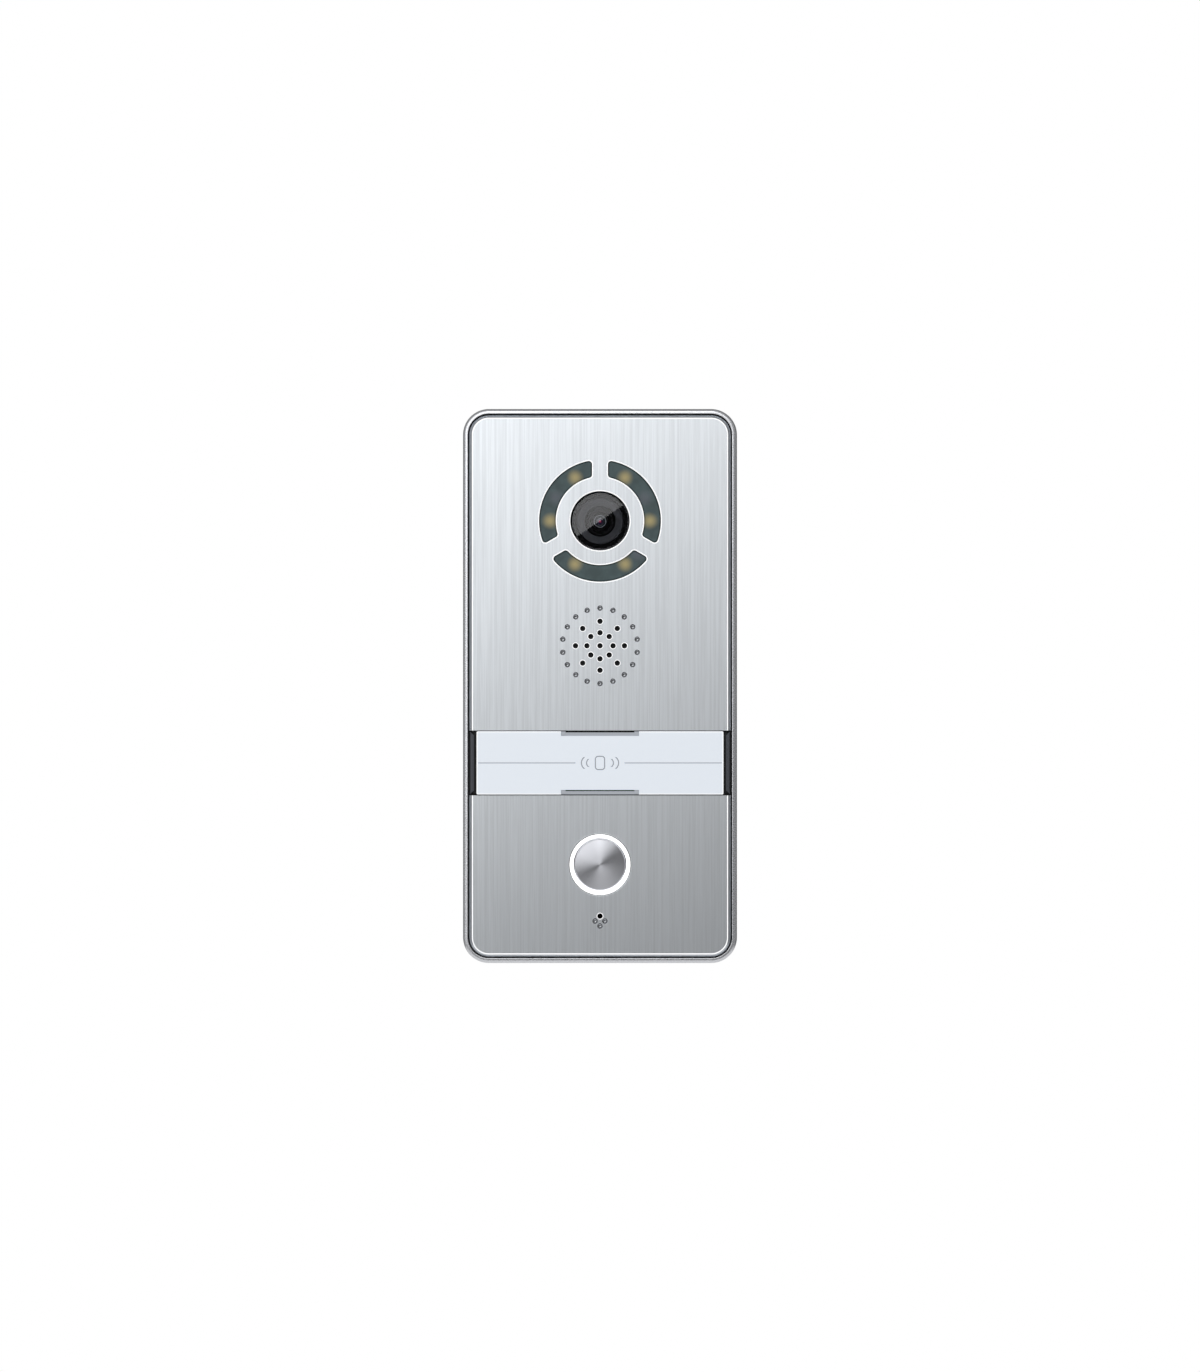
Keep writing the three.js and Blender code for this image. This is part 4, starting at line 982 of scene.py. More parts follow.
@dataclass(frozen=True)
class LitDiffuser(Finish):
    """Smoked diffuser over a ring of chips, each a soft glow under its face."""

    centre: Triple
    chip_ring: float
    chip_count: int
    violet: tuple[Triple, ...]
    smoke: Colour = (0.040, 0.064, 0.067)
    thinning: float = 0.72
    patches: float = 260.0
    patch_contrast: tuple[float, float] = (0.35, 0.65)
    warm: Colour = (0.27, 0.225, 0.105)
    spot: float = 0.0033
    cool: Colour = (0.085, 0.09, 0.11)
    cool_spread: float = 1.1
    cool_strength: float = 0.55
    gloss: tuple[float, float] = (0.42, 0.5)
    speckle: float = 1800.0
    relief: float = 0.00001
    glow: float = 0.55

    def chip_distance(self, nodes: Nodes) -> bpy.types.NodeSocket:
        """Adds the distance from the nearest warm chip, by folding the angle about the camera.

        Args:
            nodes: the material's nodes.

        Returns:
            The socket with the distance.
        """
        about = nodes.stretched((1.0, 0.0, 1.0), self.centre)
        parts = nodes.add("ShaderNodeSeparateXYZ")
        nodes.link(about, parts.inputs[0])
        angle = nodes.math("ARCTAN2", parts.outputs["Z"], parts.outputs["X"])
        half_pitch = FULL_TURN / self.chip_count / 2
        turned_on = nodes.math("ADD", angle, FULL_TURN + half_pitch)
        turned_on = nodes.math("MODULO", turned_on, 2 * half_pitch)
        folded = nodes.math("SUBTRACT", turned_on, half_pitch)
        radius = nodes.length(about)
        sideways = nodes.math("MULTIPLY", folded, radius)
        inwards = nodes.math("SUBTRACT", radius, self.chip_ring)
        squares = [
            nodes.math("POWER", nodes.math("ABSOLUTE", along), 2.0) for along in (sideways, inwards)
        ]
        return nodes.math("SQRT", nodes.math("ADD", *squares))

    def build(self, nodes: Nodes) -> None:
        """Adds the smoke, the warm spots round the camera, and the violet ones by place.

        Args:
            nodes: the material's nodes.
        """
        glow = nodes.ranged(self.chip_distance(nodes), 0.0, self.spot, 1.0, 0.0, True)
        uneven = nodes.noise((self.patches,) * 3, detail=2.0)
        patches = nodes.ranged(uneven, *self.patch_contrast, 0.0, 1.0)
        smoke = nodes.mixed(patches, shaded(self.smoke, self.thinning), self.smoke)
        colour = nodes.mixed(glow, smoke, self.warm)
        flat = nodes.stretched((1.0, 0.0, 1.0))
        reach = self.spot * self.cool_spread
        for chip in self.violet:
            apart = nodes.add("ShaderNodeVectorMath", operation="DISTANCE")
            nodes.link(flat, apart.inputs[0])
            apart.inputs[1].default_value = (chip[0], 0.0, chip[2])
            near = nodes.ranged(
                apart.outputs["Value"], 0.0, reach, self.cool_strength, 0.0, True
            )
            colour = nodes.mixed(near, colour, self.cool)
        nodes.colour(colour)
        nodes.link(colour, nodes.shader.inputs["Emission Color"])
        speckle = nodes.noise((self.speckle,) * 3, detail=2.0)
        nodes.roughness(nodes.from_noise(speckle, *self.gloss))
        nodes.bump(speckle, self.relief)
        nodes.set(Emission_Strength=self.glow)


CAMERA_GLASS = Clear("camera_glass", (0.66, 0.67, 0.70), 1.44)
GLOSS_BLACK = Moulded("gloss_black", (0.002, 0.002, 0.0025), 0.42, relief=0.0000005, specular=0.1)
BEZEL_STEP = Moulded("bezel_step", (0.17, 0.175, 0.185), 0.5, relief=0.0000005, specular=0.2)
FLOOR = Moulded("floor", (0.8, 0.8, 0.8), 0.8, 400.0, variation=0.02, glow=0.45)
RAIL = Moulded("rail", (0.075, 0.08, 0.095), 0.3, relief=0.00001)
RETAINER = Metal("retainer", (0.42, 0.43, 0.46), 0.35)
LIT_COVER = Moulded(
    "lit_cover", (0.70, 0.74, 0.79), 0.22, 400.0, 0.000001, 0.012, glow=0.36,
    glow_colour=(0.86, 0.92, 1.0),
)
# Painted highlight: a white glow on the sloping edge of the nameplate cover.
PAINTED_COVER_HIGHLIGHT = Moulded("painted_cover_highlight", (0.90, 0.93, 0.96), 0.2, variation=0.01, glow=0.5)
# Painted shade: a darker grey for the floor and walls of the cover's recesses.
RECESS_SHADE = Moulded("recess", (0.38, 0.42, 0.48), 0.5, variation=0.05, glow=0.16)
INK = Moulded("ink", (0.22, 0.25, 0.30), 0.6, variation=0.05, glow=0.16)
GLOW_RING = Moulded("glow_ring", (0.96, 0.97, 0.98), 0.35, variation=0.01, glow=0.9)
# Painted shade: a darker grey for the bowls of the dimples.
DIMPLE_SHADE = Metal("dimple", (0.34, 0.35, 0.37), 0.2, relief=0.0000005, variation=0.02)
# Painted highlight: a white glow on the lips round the plates' edges and holes.
PAINTED_EDGE_HIGHLIGHT = Moulded("bright_edge", (0.96, 0.97, 0.98), 0.25, variation=0.01, glow=0.55)
PLATE = BrushedPlate("brushed_plate")
SILVER = Metal(
    "silver_paint", (0.74, 0.75, 0.78), 0.28, (2600.0, 2600.0, 2600.0), 0.0000012, 0.04,
    metalness=0.85,
)
FINISHES: dict[str, Finish] = {
    "silver_paint": SILVER,
    "brushed_plate": PLATE,
    "black_plastic": Moulded("black_plastic", (0.006, 0.0065, 0.0075), 0.42, specular=0.25),
    "dark_plastic": Moulded("dark_plastic", (0.02, 0.021, 0.025), 0.45),
    "white_plastic": Moulded("white_plastic", (0.78, 0.80, 0.82), 0.4, variation=0.04),
    "glow_plastic": Moulded(
        "glow_plastic", (0.95, 0.96, 0.97), 0.35, variation=0.02, glow=0.75,
    ),
    "tinted_plastic": Moulded("tinted_plastic", (0.052, 0.082, 0.085), 0.35),
    "dark_glass": Moulded("dark_glass", (0.01, 0.011, 0.014), 0.06, relief=0.0),
    "lens_glass": Moulded("lens_glass", (0.02, 0.022, 0.04), 0.03, relief=0.0),
    "spun_metal": Metal("spun_metal", (0.74, 0.75, 0.79), 0.3),
    "steel": Metal("steel", (0.55, 0.55, 0.56), 0.34, (500.0, 500.0, 900.0)),
    "rubber": Moulded("rubber", (0.007, 0.007, 0.008), 0.75, 1500.0, 0.00005, specular=0.2),
    "foam": Moulded("foam", (0.045, 0.046, 0.05), 0.92, 3000.0, 0.0003, 0.35),
    "board_green": Moulded("board_green", (0.015, 0.13, 0.05), 0.33, 900.0, 0.00002, 0.2),
    "board_white": Moulded("board_white", (0.72, 0.73, 0.71), 0.35, 900.0, 0.00001, 0.05),
    "lamp_yellow": Moulded(
        "lamp_yellow", (0.82, 0.62, 0.16), 0.25, variation=0.1, glow=0.4,
        glow_colour=(1.0, 0.78, 0.36),
    ),
    "lamp_violet": Moulded("lamp_violet", (0.09, 0.07, 0.12), 0.2),
    "amber_film": Moulded("amber_film", (0.56, 0.24, 0.035), 0.3, 1200.0, 0.00001),
    "cone_black": Moulded("cone_black", (0.008, 0.008, 0.009), 0.8, 1800.0, 0.00006, specular=0.2),
    "card_paper": Moulded("card_paper", (0.80, 0.84, 0.88), 0.7, 2200.0, 0.00001, 0.02),
    "terminal_green": Moulded("terminal_green", (0.02, 0.26, 0.10), 0.4),
    "lead_red": Moulded("lead_red", (0.42, 0.025, 0.02), 0.42),
}


# ---- The places that the pieces take from the frame ----------------------------------------------


def centre_of(node: str) -> Vector:
    """Gives the middle of a CAD node's box."""
    low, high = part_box(node)
    return (low + high) / 2


def radius_of(node: str) -> float:
    """Gives half the width of a round CAD node."""
    low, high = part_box(node)
    return (high.x - low.x) / 2


def front_of(node: str) -> float:
    """Gives the y of a CAD node's front."""
    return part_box(node)[0].y


def back_of(node: str) -> float:
    """Gives the y of a CAD node's back."""
    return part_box(node)[1].y


# ---- Front frame ---------------------------------------------------------------------------------


@dataclass
class FrontFrame:
    """The silver skirt and rim that everything in front sits in."""

    corner_radius: float = 0.0085
    corner_flats: int = 24
    rim_width: float = 0.00165
    rounding: float = 0.0012
    rounding_flats: int = 8
    inner_edge: float = 0.00015
    ledge_width: float = 0.003
    ledge_back: float = 0.0240
    ledge_front: float = 0.0262

    def build(self) -> bpy.types.Object:
        """Builds the frame.

        Returns:
            The finished frame.
        """
        low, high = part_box("front_frame")
        body_low = Vector((low.x, low.y + self.rounding, low.z))
        frame = rounded_slab(
            "front_frame_shell", body_low, high, self.corner_radius, self.corner_flats
        )
        step_end(frame, End.FRONT, round_over(self.rounding, self.rounding_flats))
        inset = Vector((self.rim_width, 0, self.rim_width))
        reach = Vector((0, self.rounding, 0))
        bore = rounded_slab(
            "bore", low + inset - reach, high - inset + reach,
            self.corner_radius - self.rim_width, self.corner_flats,
        )
        combine(frame, Join.CUT, bore)
        with editing(frame, "EDGE"):
            inner = high.x - self.rim_width
            pick_edges(frame, lambda a, b: self.on_inner_edge(a, b, low.y, inner, high.z))
            bpy.ops.mesh.bevel(
                offset=self.inner_edge, segments=2, affect="EDGES", clamp_overlap=False
            )
        smooth(frame)
        dress(frame, "silver_paint", SILVER, "housing", "front_frame")
        self.add_ledge()
        return frame

    def on_inner_edge(self, a: Vector, b: Vector, front: float, inner: float, top: float) -> bool:
        """Whether an edge is on the inner edge of the rim's crest.

        Args:
            a: one end of the edge.
            b: its other end.
            front: the crest's y.
            inner: the opening's half width.
            top: the frame's highest point.

        Returns:
            True if it is.
        """
        tall = top - self.rim_width
        for point in (a, b):
            if abs(point.y - front) > TOUCH:
                return False
            if abs(point.x) > inner + TOUCH or abs(point.z) > tall + TOUCH:
                return False
        return True

    def add_ledge(self) -> bpy.types.Object:
        """Adds the ledge inside the rim that the chassis rests on, black as painted shade in the
        groove behind the rim.

        Returns:
            The ledge.
        """
        low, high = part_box("front_frame")
        half = self.rim_width / 2
        outer = Vector((half, 0, half))
        inner = Vector((self.rim_width + self.ledge_width,) * 3)
        low = Vector((low.x, -self.ledge_front, low.z))
        high = Vector((high.x, -self.ledge_back, high.z))
        ledge = rounded_slab(
            "front_frame_ledge", low + outer, high - outer, self.corner_radius - half
        )
        window = rounded_slab(
            "window", Vector((low.x + inner.x, low.y - inner.y, low.z + inner.z)),
            Vector((high.x - inner.x, high.y + inner.y, high.z - inner.z)),
            self.corner_radius - inner.x,
        )
        combine(ledge, Join.CUT, window)
        smooth(ledge)
        # Black plastic here is painted shade; the real ledge is part of the silver frame.
        return dress(ledge, "black_plastic", FINISHES["black_plastic"], "housing")


# ---- Front plates --------------------------------------------------------------------------------


@dataclass
class FrontPlates:
    """The two brushed plates, with every opening that they have."""

    corner_radius: float = 0.0064
    corner_flats: int = 20
    chamfer_width: float = 0.0012
    chamfer_drop: float = 0.001
    lip_width: float = 0.00032
    lip_drop: float = 0.00007
    lip_levels: tuple[float, float] = (0.2, 1.2)
    light_inner: float = 0.0145
    light_outer: float = 0.020
    light_bridge: float = 0.0052
    light_corner: float = 0.0011
    light_corner_flats: int = 6
    light_ring_flats: int = 48
    camera_clearance: float = 0.0003
    window_edge: float = 0.0002
    hole_radius: float = 0.0009
    hole_lip: float = 0.0002
    hole_rings: tuple[float, ...] = (0.00428, 0.00803)
    hole_count: int = 8
    dimple_ring: float = 0.01238
    dimple_count: int = 18
    dimple_radius: float = 0.00088
    dimple_depth: float = 0.0006
    bowl_flats: int = 5
    bowl_tip: float = 0.08
    bowl_flare: float = 1.12
    microphone_pitch: float = 0.0016
    microphone_marks: int = 4
    button_hole_radius: float = 0.0102
    near_button: float = 1.1
    through: float = 0.004
    chip_count: int = 6
    violet_count: int = 3

    def __post_init__(self) -> None:
        """Takes the plates' levels from the frame."""
        self.front = front_of("upper_front_plate")
        self.back = back_of("upper_front_plate")
        self.lit = centre_of("camera_window")
        self.sound = centre_of("speaker_mesh")
        self.button = centre_of("call_button_cap")
        self.microphone = centre_of("microphone_boot")
        ring = ring_offsets(self.dimple_ring, self.dimple_count)
        diamond = ring_offsets(self.microphone_pitch, self.microphone_marks)[1:]
        centres = [self.sound + o for o in ring] + [self.microphone + o for o in diamond]
        self.dimples = [Vector((centre.x, 0, centre.z)) for centre in centres]

    def blank(self) -> bpy.types.Object:
        """Makes one plate as large as both, with its chamfer and the lip that gets the painted
        highlight.

        Returns:
            The blank.
        """
        low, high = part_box("upper_front_plate")
        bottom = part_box("lower_front_plate")[0].z
        flat = Vector((low.x, self.front + self.chamfer_drop, bottom))
        plate = rounded_slab("plate_blank", flat, high, self.corner_radius, self.corner_flats)
        run = self.chamfer_width - self.lip_width
        steps = [(run, self.chamfer_drop - self.lip_drop), (self.lip_width, self.lip_drop)]
        step_end(plate, End.FRONT, steps)
        return plate

    def hole_tool(self, centre: Vector, radius: float, lip: float) -> bpy.types.Object:
        """Makes the cutter of a round hole with a lip for the painted highlight.

        Args:
            centre: the middle of the hole.
            radius: its radius.
            lip: the width of its lip.

        Returns:
            The cutter.
        """
        mouth = self.front - self.lip_drop
        profile = [
            (radius, self.back + self.through), (radius, self.front + self.lip_drop),
            (radius + lip, self.front), (radius + lip, mouth),
        ]
        sides = SMALL_SIDES if radius == self.hole_radius else ROUND_SIDES
        return turned("hole_tool", centre, profile, sides)

    def dimple_tool(self, centre: Vector) -> bpy.types.Object:
        """Makes the cutter of one blind dimple, a shallow bowl.

        Args:
            centre: the middle of the dimple.

        Returns:
            The cutter.
        """
        bottom = self.front + self.dimple_depth
        flats = self.bowl_flats
        angles = [QUARTER_TURN * i / flats for i in range(1, flats + 1)]
        bowl = [
            (self.dimple_radius * math.sin(a), bottom - self.dimple_depth * (1 - math.cos(a)))
            for a in angles
        ]
        mouth = (self.dimple_radius * self.bowl_flare, self.front - self.lip_drop)
        profile = [(self.dimple_radius * self.bowl_tip, bottom), *bowl, mouth]
        return turned("dimple_tool", centre, profile, SMALL_SIDES)

    def light_outline(self, index: int, clearance: float) -> list[Vector]:
        """Gives the outline of one ring sector beside the camera.

        Args:
            index: which of the three it is, 0 for the one that starts at the top.
            clearance: how much larger than nominal it is, on every side.

        Returns:
            Its points in the XZ plane.
        """
        corner = self.light_corner + clearance
        rings = self.light_inner - clearance + corner, self.light_outer + clearance - corner
        middle = Vector((self.lit.x, 0, self.lit.z))
        offset = self.light_bridge / 2 - clearance + corner
        corners = []
        for end in (0, 1):
            bridge = QUARTER_TURN + FULL_TURN * (index + end) / 3
            side = bridge + (QUARTER_TURN if end == 0 else -QUARTER_TURN)
            along = Vector((math.cos(bridge), 0, math.sin(bridge)))
            across = Vector((math.cos(side), 0, math.sin(side)))
            for ring in rings:
                spoke = along * math.sqrt(ring**2 - offset**2) + across * offset
                corners.append((middle + spoke, math.atan2(spoke.z, spoke.x), side + math.pi))
        (near_in, in_1, flat_1), (near_out, out_1, _), (far_in, in_2, flat_2), far = corners
        far_out, out_2, _ = far
        flats, ring_flats = self.light_corner_flats, self.light_ring_flats
        points = arc(near_in, corner, in_1 + math.pi, flat_1, flats)
        points += arc(near_out, corner, flat_1, out_1, flats)
        points += arc(middle, self.light_outer + clearance, out_1, out_2, ring_flats)[1:-1]
        points += arc(far_out, corner, out_2, flat_2, flats)
        points += arc(far_in, corner, flat_2, in_2 + math.pi, flats)
        points += arc(middle, self.light_inner - clearance, in_2, in_1, ring_flats)[1:-1]
        return points

    def light_solids(self, levels: Profile) -> list[bpy.types.Object]:
        """Makes a solid for each of the three ring sectors round the camera.

        Args:
            levels: the clearance and the y of each level.

        Returns:
            The solids.
        """
        return [
            lofted("light", lambda clearance, i=i: self.light_outline(i, clearance), levels)
            for i in range(3)
        ]

    def openings(self, plate: bpy.types.Object) -> None:
        """Cuts every opening into the blank.

        Args:
            plate: the blank.
        """
        camera = radius_of("camera_window") + self.camera_clearance
        ring = self.button_hole_radius
        combine(plate, Join.CUT, self.hole_tool(self.lit, camera, self.lip_width))
        combine(plate, Join.CUT, self.hole_tool(self.button, ring, self.lip_width / 2))
        levels = [
            (0.0, self.back + self.through), (0.0, self.front + self.lip_drop),
            (self.lip_width, self.front), (self.lip_width, self.front - self.through),
        ]
        combine(plate, Join.CUT, *self.light_solids(levels))
        hole = self.hole_tool(Vector((0, 0, 0)), self.hole_radius, self.hole_lip)
        places = [self.sound]
        for radius in self.hole_rings:
            places += [self.sound + o for o in ring_offsets(radius, self.hole_count)]
        places.append(self.microphone + Vector((0, 0, self.microphone_pitch)))
        combine(plate, Join.CUT, repeated(hole, [Vector((p.x, 0, p.z)) for p in places]))
        dimple = self.dimple_tool(Vector((0, 0, 0)))
        combine(plate, Join.CUT, repeated(dimple, self.dimples))

    def is_lip(self, face: bpy.types.MeshPolygon) -> bool:
        """Whether a face belongs to a lip with the painted highlight, which the button's hole has
        none of.

        Args:
            face: a face of a plate.

        Returns:
            True if it does.
        """
        level = (face.center.y - self.front) / self.lip_drop
        if not self.lip_levels[0] < level < self.lip_levels[1] or face.normal.y > -FACING:
            return False
        offset = face.center - self.button
        return math.hypot(offset.x, offset.z) >= self.button_hole_radius * self.near_button

    def is_dimple(self, face: bpy.types.MeshPolygon) -> bool:
        """Whether a face lies in the bowl of a dimple, which gets painted shade.

        Args:
            face: a face of a plate.

        Returns:
            True if it does.
        """
        depth = face.center.y - self.front
        if not 0 < depth < self.dimple_depth + TOUCH:
            return False
        at = Vector((face.center.x, 0, face.center.z))
        return any((at - centre).length < self.dimple_radius for centre in self.dimples)

    def build(self) -> list[bpy.types.Object]:
        """Builds both plates.

        Returns:
            The upper and the lower plate.
        """
        plate = self.blank()
        self.openings(plate)
        upper = moved_copy(plate, "upper_plate", Vector((0, 0, 0)))
        cut_off(upper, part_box("upper_front_plate")[0].z, True)
        lower = moved_copy(plate, "lower_plate", Vector((0, 0, 0)))
        cut_off(lower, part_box("lower_front_plate")[1].z, False)
        bpy.data.objects.remove(plate)
        for made, node in ((upper, "upper_front_plate"), (lower, "lower_front_plate")):
            smooth(made)
            dress(made, "brushed_plate", PLATE, "housing", node)
            # Painted highlight on the lips round the edges and holes.
            paint_faces(made, PAINTED_EDGE_HIGHLIGHT, self.is_lip)
            # Painted shade in the dimples.
            paint_faces(made, DIMPLE_SHADE, self.is_dimple)
        return [upper, lower]

    def light_windows(self) -> list[bpy.types.Object]:
        """Builds the diffusers that fill the openings round the camera.

        Returns:
            The three diffusers.
        """
        low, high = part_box("light_window_bottom")
        gap, edge = -self.camera_clearance, self.window_edge
        levels = [(gap, high.y), (gap, low.y + edge), (gap - edge, low.y)]
        windows = self.light_solids(levels)
        violet = tuple(
            tuple(centre_of(f"infrared_light_{i + 1}")) for i in range(self.violet_count)
        )
        chip = centre_of("fill_light_1") - self.lit
        ring = math.hypot(chip.x, chip.z)
        finish = LitDiffuser("lit_diffuser", tuple(self.lit), ring, self.chip_count, violet)
        names = [f"light_window_{side}" for side in ("right", "left", "bottom")]
        for window in windows:
            points = [vertex.co for vertex in window.data.vertices]
            middle = sum(points, Vector()) / len(points)
            node = min(names, key=lambda n: (centre_of(n) - middle).length)
            window.name = node.replace("light_window", "lamp_diffuser")
            window.data.name = window.name
            smooth(window)
            dress(window, "tinted_plastic", finish, "housing", node)
        return windows


# ---- Camera --------------------------------------------------------------------------------------


@dataclass
class CameraEye:
    """The camera's glass, its stepped bezel and the lens behind it."""

    glass_edge: float = 0.0003
    fine_edge: float = 0.0001
    step_radius: float = 0.00725
    step_slope: float = 0.0003
    step_drop: float = 0.0006
    throat_radius: float = 0.0051
    throat_edge: float = 0.0004
    throat_end: float = 0.0044
    throat_lip: float = 0.0006
    baffles: int = 4
    baffle_share: float = 0.8
    tube_wall: float = 0.0015
    flange_thickness: float = 0.001
    barrel_edge: float = 0.0002
    barrel_drop: float = 0.0003
    barrel_steps: int = 4
    seat_clearance: float = 0.0003
    seat_depth: float = 0.0012
    seat_flare: float = 0.0004
    retainer_gap: float = 0.00003
    retainer_width: float = 0.00022
    retainer_thickness: float = 0.00035
    lens_edge: float = 0.0002
    dome_flats: int = 14

    def __post_init__(self) -> None:
        """Takes the camera's axis from the frame."""
        self.axis = centre_of("camera_window")

    def build(self) -> list[bpy.types.Object]:
        """Builds the pieces of the camera that show, from the front to the back."""
        return [self.glass(), self.bezel(), self.barrel(), self.retainer(), self.element()]

    def glass(self) -> bpy.types.Object:
        """Builds the flat glass with its bevelled edge.

        Returns:
            The glass.
        """
        radius = radius_of("camera_window")
        back, front = back_of("camera_window"), front_of("camera_window")
        edge = self.glass_edge
        profile = [
            (radius - edge, back), (radius, back - edge), (radius, front + edge),
            (radius - edge, front),
        ]
        glass = turned("camera_glass", self.axis, profile, FINE_SIDES)
        smooth(glass)
        return dress(glass, "dark_glass", CAMERA_GLASS, "housing", "camera_window")

    def bezel(self) -> bpy.types.Object:
        """Builds the black bezel, whose throat narrows towards the lens in baffles.

        Returns:
            The bezel.
        """
        tube = radius_of("camera_window")
        flange = radius_of("camera_bezel")
        back, front = back_of("camera_bezel"), front_of("camera_bezel")
        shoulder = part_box("front_chassis")[1].y + self.glass_edge
        floor = front + self.step_drop
        start = floor + self.throat_edge
        profile = [
            (self.throat_end, back), (tube - self.tube_wall, back),
            (tube - self.tube_wall, shoulder + self.flange_thickness),
            (flange, shoulder + self.flange_thickness), (flange, shoulder), (tube, shoulder),
            (tube, front + self.fine_edge), (tube - self.fine_edge, front),
            (self.step_radius + self.step_slope, front), (self.step_radius, floor),
            (self.throat_radius + self.fine_edge, floor + self.throat_edge / 2),
            (self.throat_radius, start),
        ]
        depth = (back - self.throat_lip - start) / self.baffles
        narrowing = (self.throat_radius - self.throat_end) / self.baffles
        for i in range(self.baffles):
            radius, level = self.throat_radius - narrowing * i, start + depth * i
            profile.append((radius, level + depth * self.baffle_share))
            profile.append((radius - narrowing, level + depth))
        profile.append((self.throat_end, back))
        bezel = turned("camera_bezel_ring", self.axis, profile, FINE_SIDES)
        smooth(bezel)
        dress(bezel, "black_plastic", GLOSS_BLACK, "housing", "camera_bezel")
        paint_faces(bezel, BEZEL_STEP, lambda face: self.is_step(face, floor))
        return bezel

    def is_step(self, face: bpy.types.MeshPolygon, floor: float) -> bool:
        """Whether a face is on the grey step of the bezel.

        Args:
            face: a face of the bezel.
            floor: the y of the step.

        Returns:
            True if it is.
        """
        offset = face.center - self.axis
        radius = math.hypot(offset.x, offset.z)
        is_near = abs(face.center.y - floor) < self.throat_edge
        return is_near and self.throat_radius < radius < self.step_radius + self.step_slope

    def barrel(self) -> bpy.types.Object:
        """Builds the lens barrel, whose face steps down to the lens.

        Returns:
            The barrel.
        """
        radius = radius_of("lens_barrel")
        back, front = back_of("lens_barrel"), front_of("lens_barrel")
        seat = radius_of("lens_front_element") + self.seat_clearance
        step, drop, edge = (radius - seat) / self.barrel_steps, self.barrel_drop, self.barrel_edge
        profile = [
            (seat, front + self.seat_depth), (seat + self.seat_flare, back), (radius, back),
            (radius, front + edge), (radius - edge, front), (radius - step, front),
            (radius - step, front + drop), (radius - 2 * step, front + drop),
            (radius - 2 * step, front + 2 * drop), (seat, front + 2 * drop),
            (seat, front + self.seat_depth),
        ]
        barrel = turned("lens_tube", self.axis, profile)
        smooth(barrel)
        return dress(barrel, "black_plastic", GLOSS_BLACK, "housing", "lens_barrel")

    def retainer(self) -> bpy.types.Object:
        """Builds the thin metal ring round the front element.

        Returns:
            The ring.
        """
        lens_radius, seat = radius_of("lens_front_element"), back_of("lens_front_element")
        inner, outer = lens_radius + self.retainer_gap, lens_radius + self.retainer_width
        level = seat - self.retainer_thickness
        profile = [(inner, seat), (outer, seat), (outer, level), (inner, level), (inner, seat)]
        ring = turned("lens_retainer", self.axis, profile)
        smooth(ring)
        return dress(ring, "steel", RETAINER, "housing")

    def element(self) -> bpy.types.Object:
        """Builds the domed front element of the lens.

        Returns:
            The element.
        """
        radius, back = radius_of("lens_front_element"), back_of("lens_front_element")
        level = back - self.lens_edge
        rise = level - front_of("lens_front_element")
        angles = [QUARTER_TURN * i / self.dome_flats for i in range(self.dome_flats)]
        dome = [(radius * math.cos(a), level - rise * math.sin(a)) for a in angles]
        element = turned("lens_dome", self.axis, [(radius, back), *dome])
        smooth(element)
        finish = CoatedLens("coated_lens", tuple(self.axis))
        return dress(element, "lens_glass", finish, "housing", "lens_front_element")


# ---- Nameplate -----------------------------------------------------------------------------------


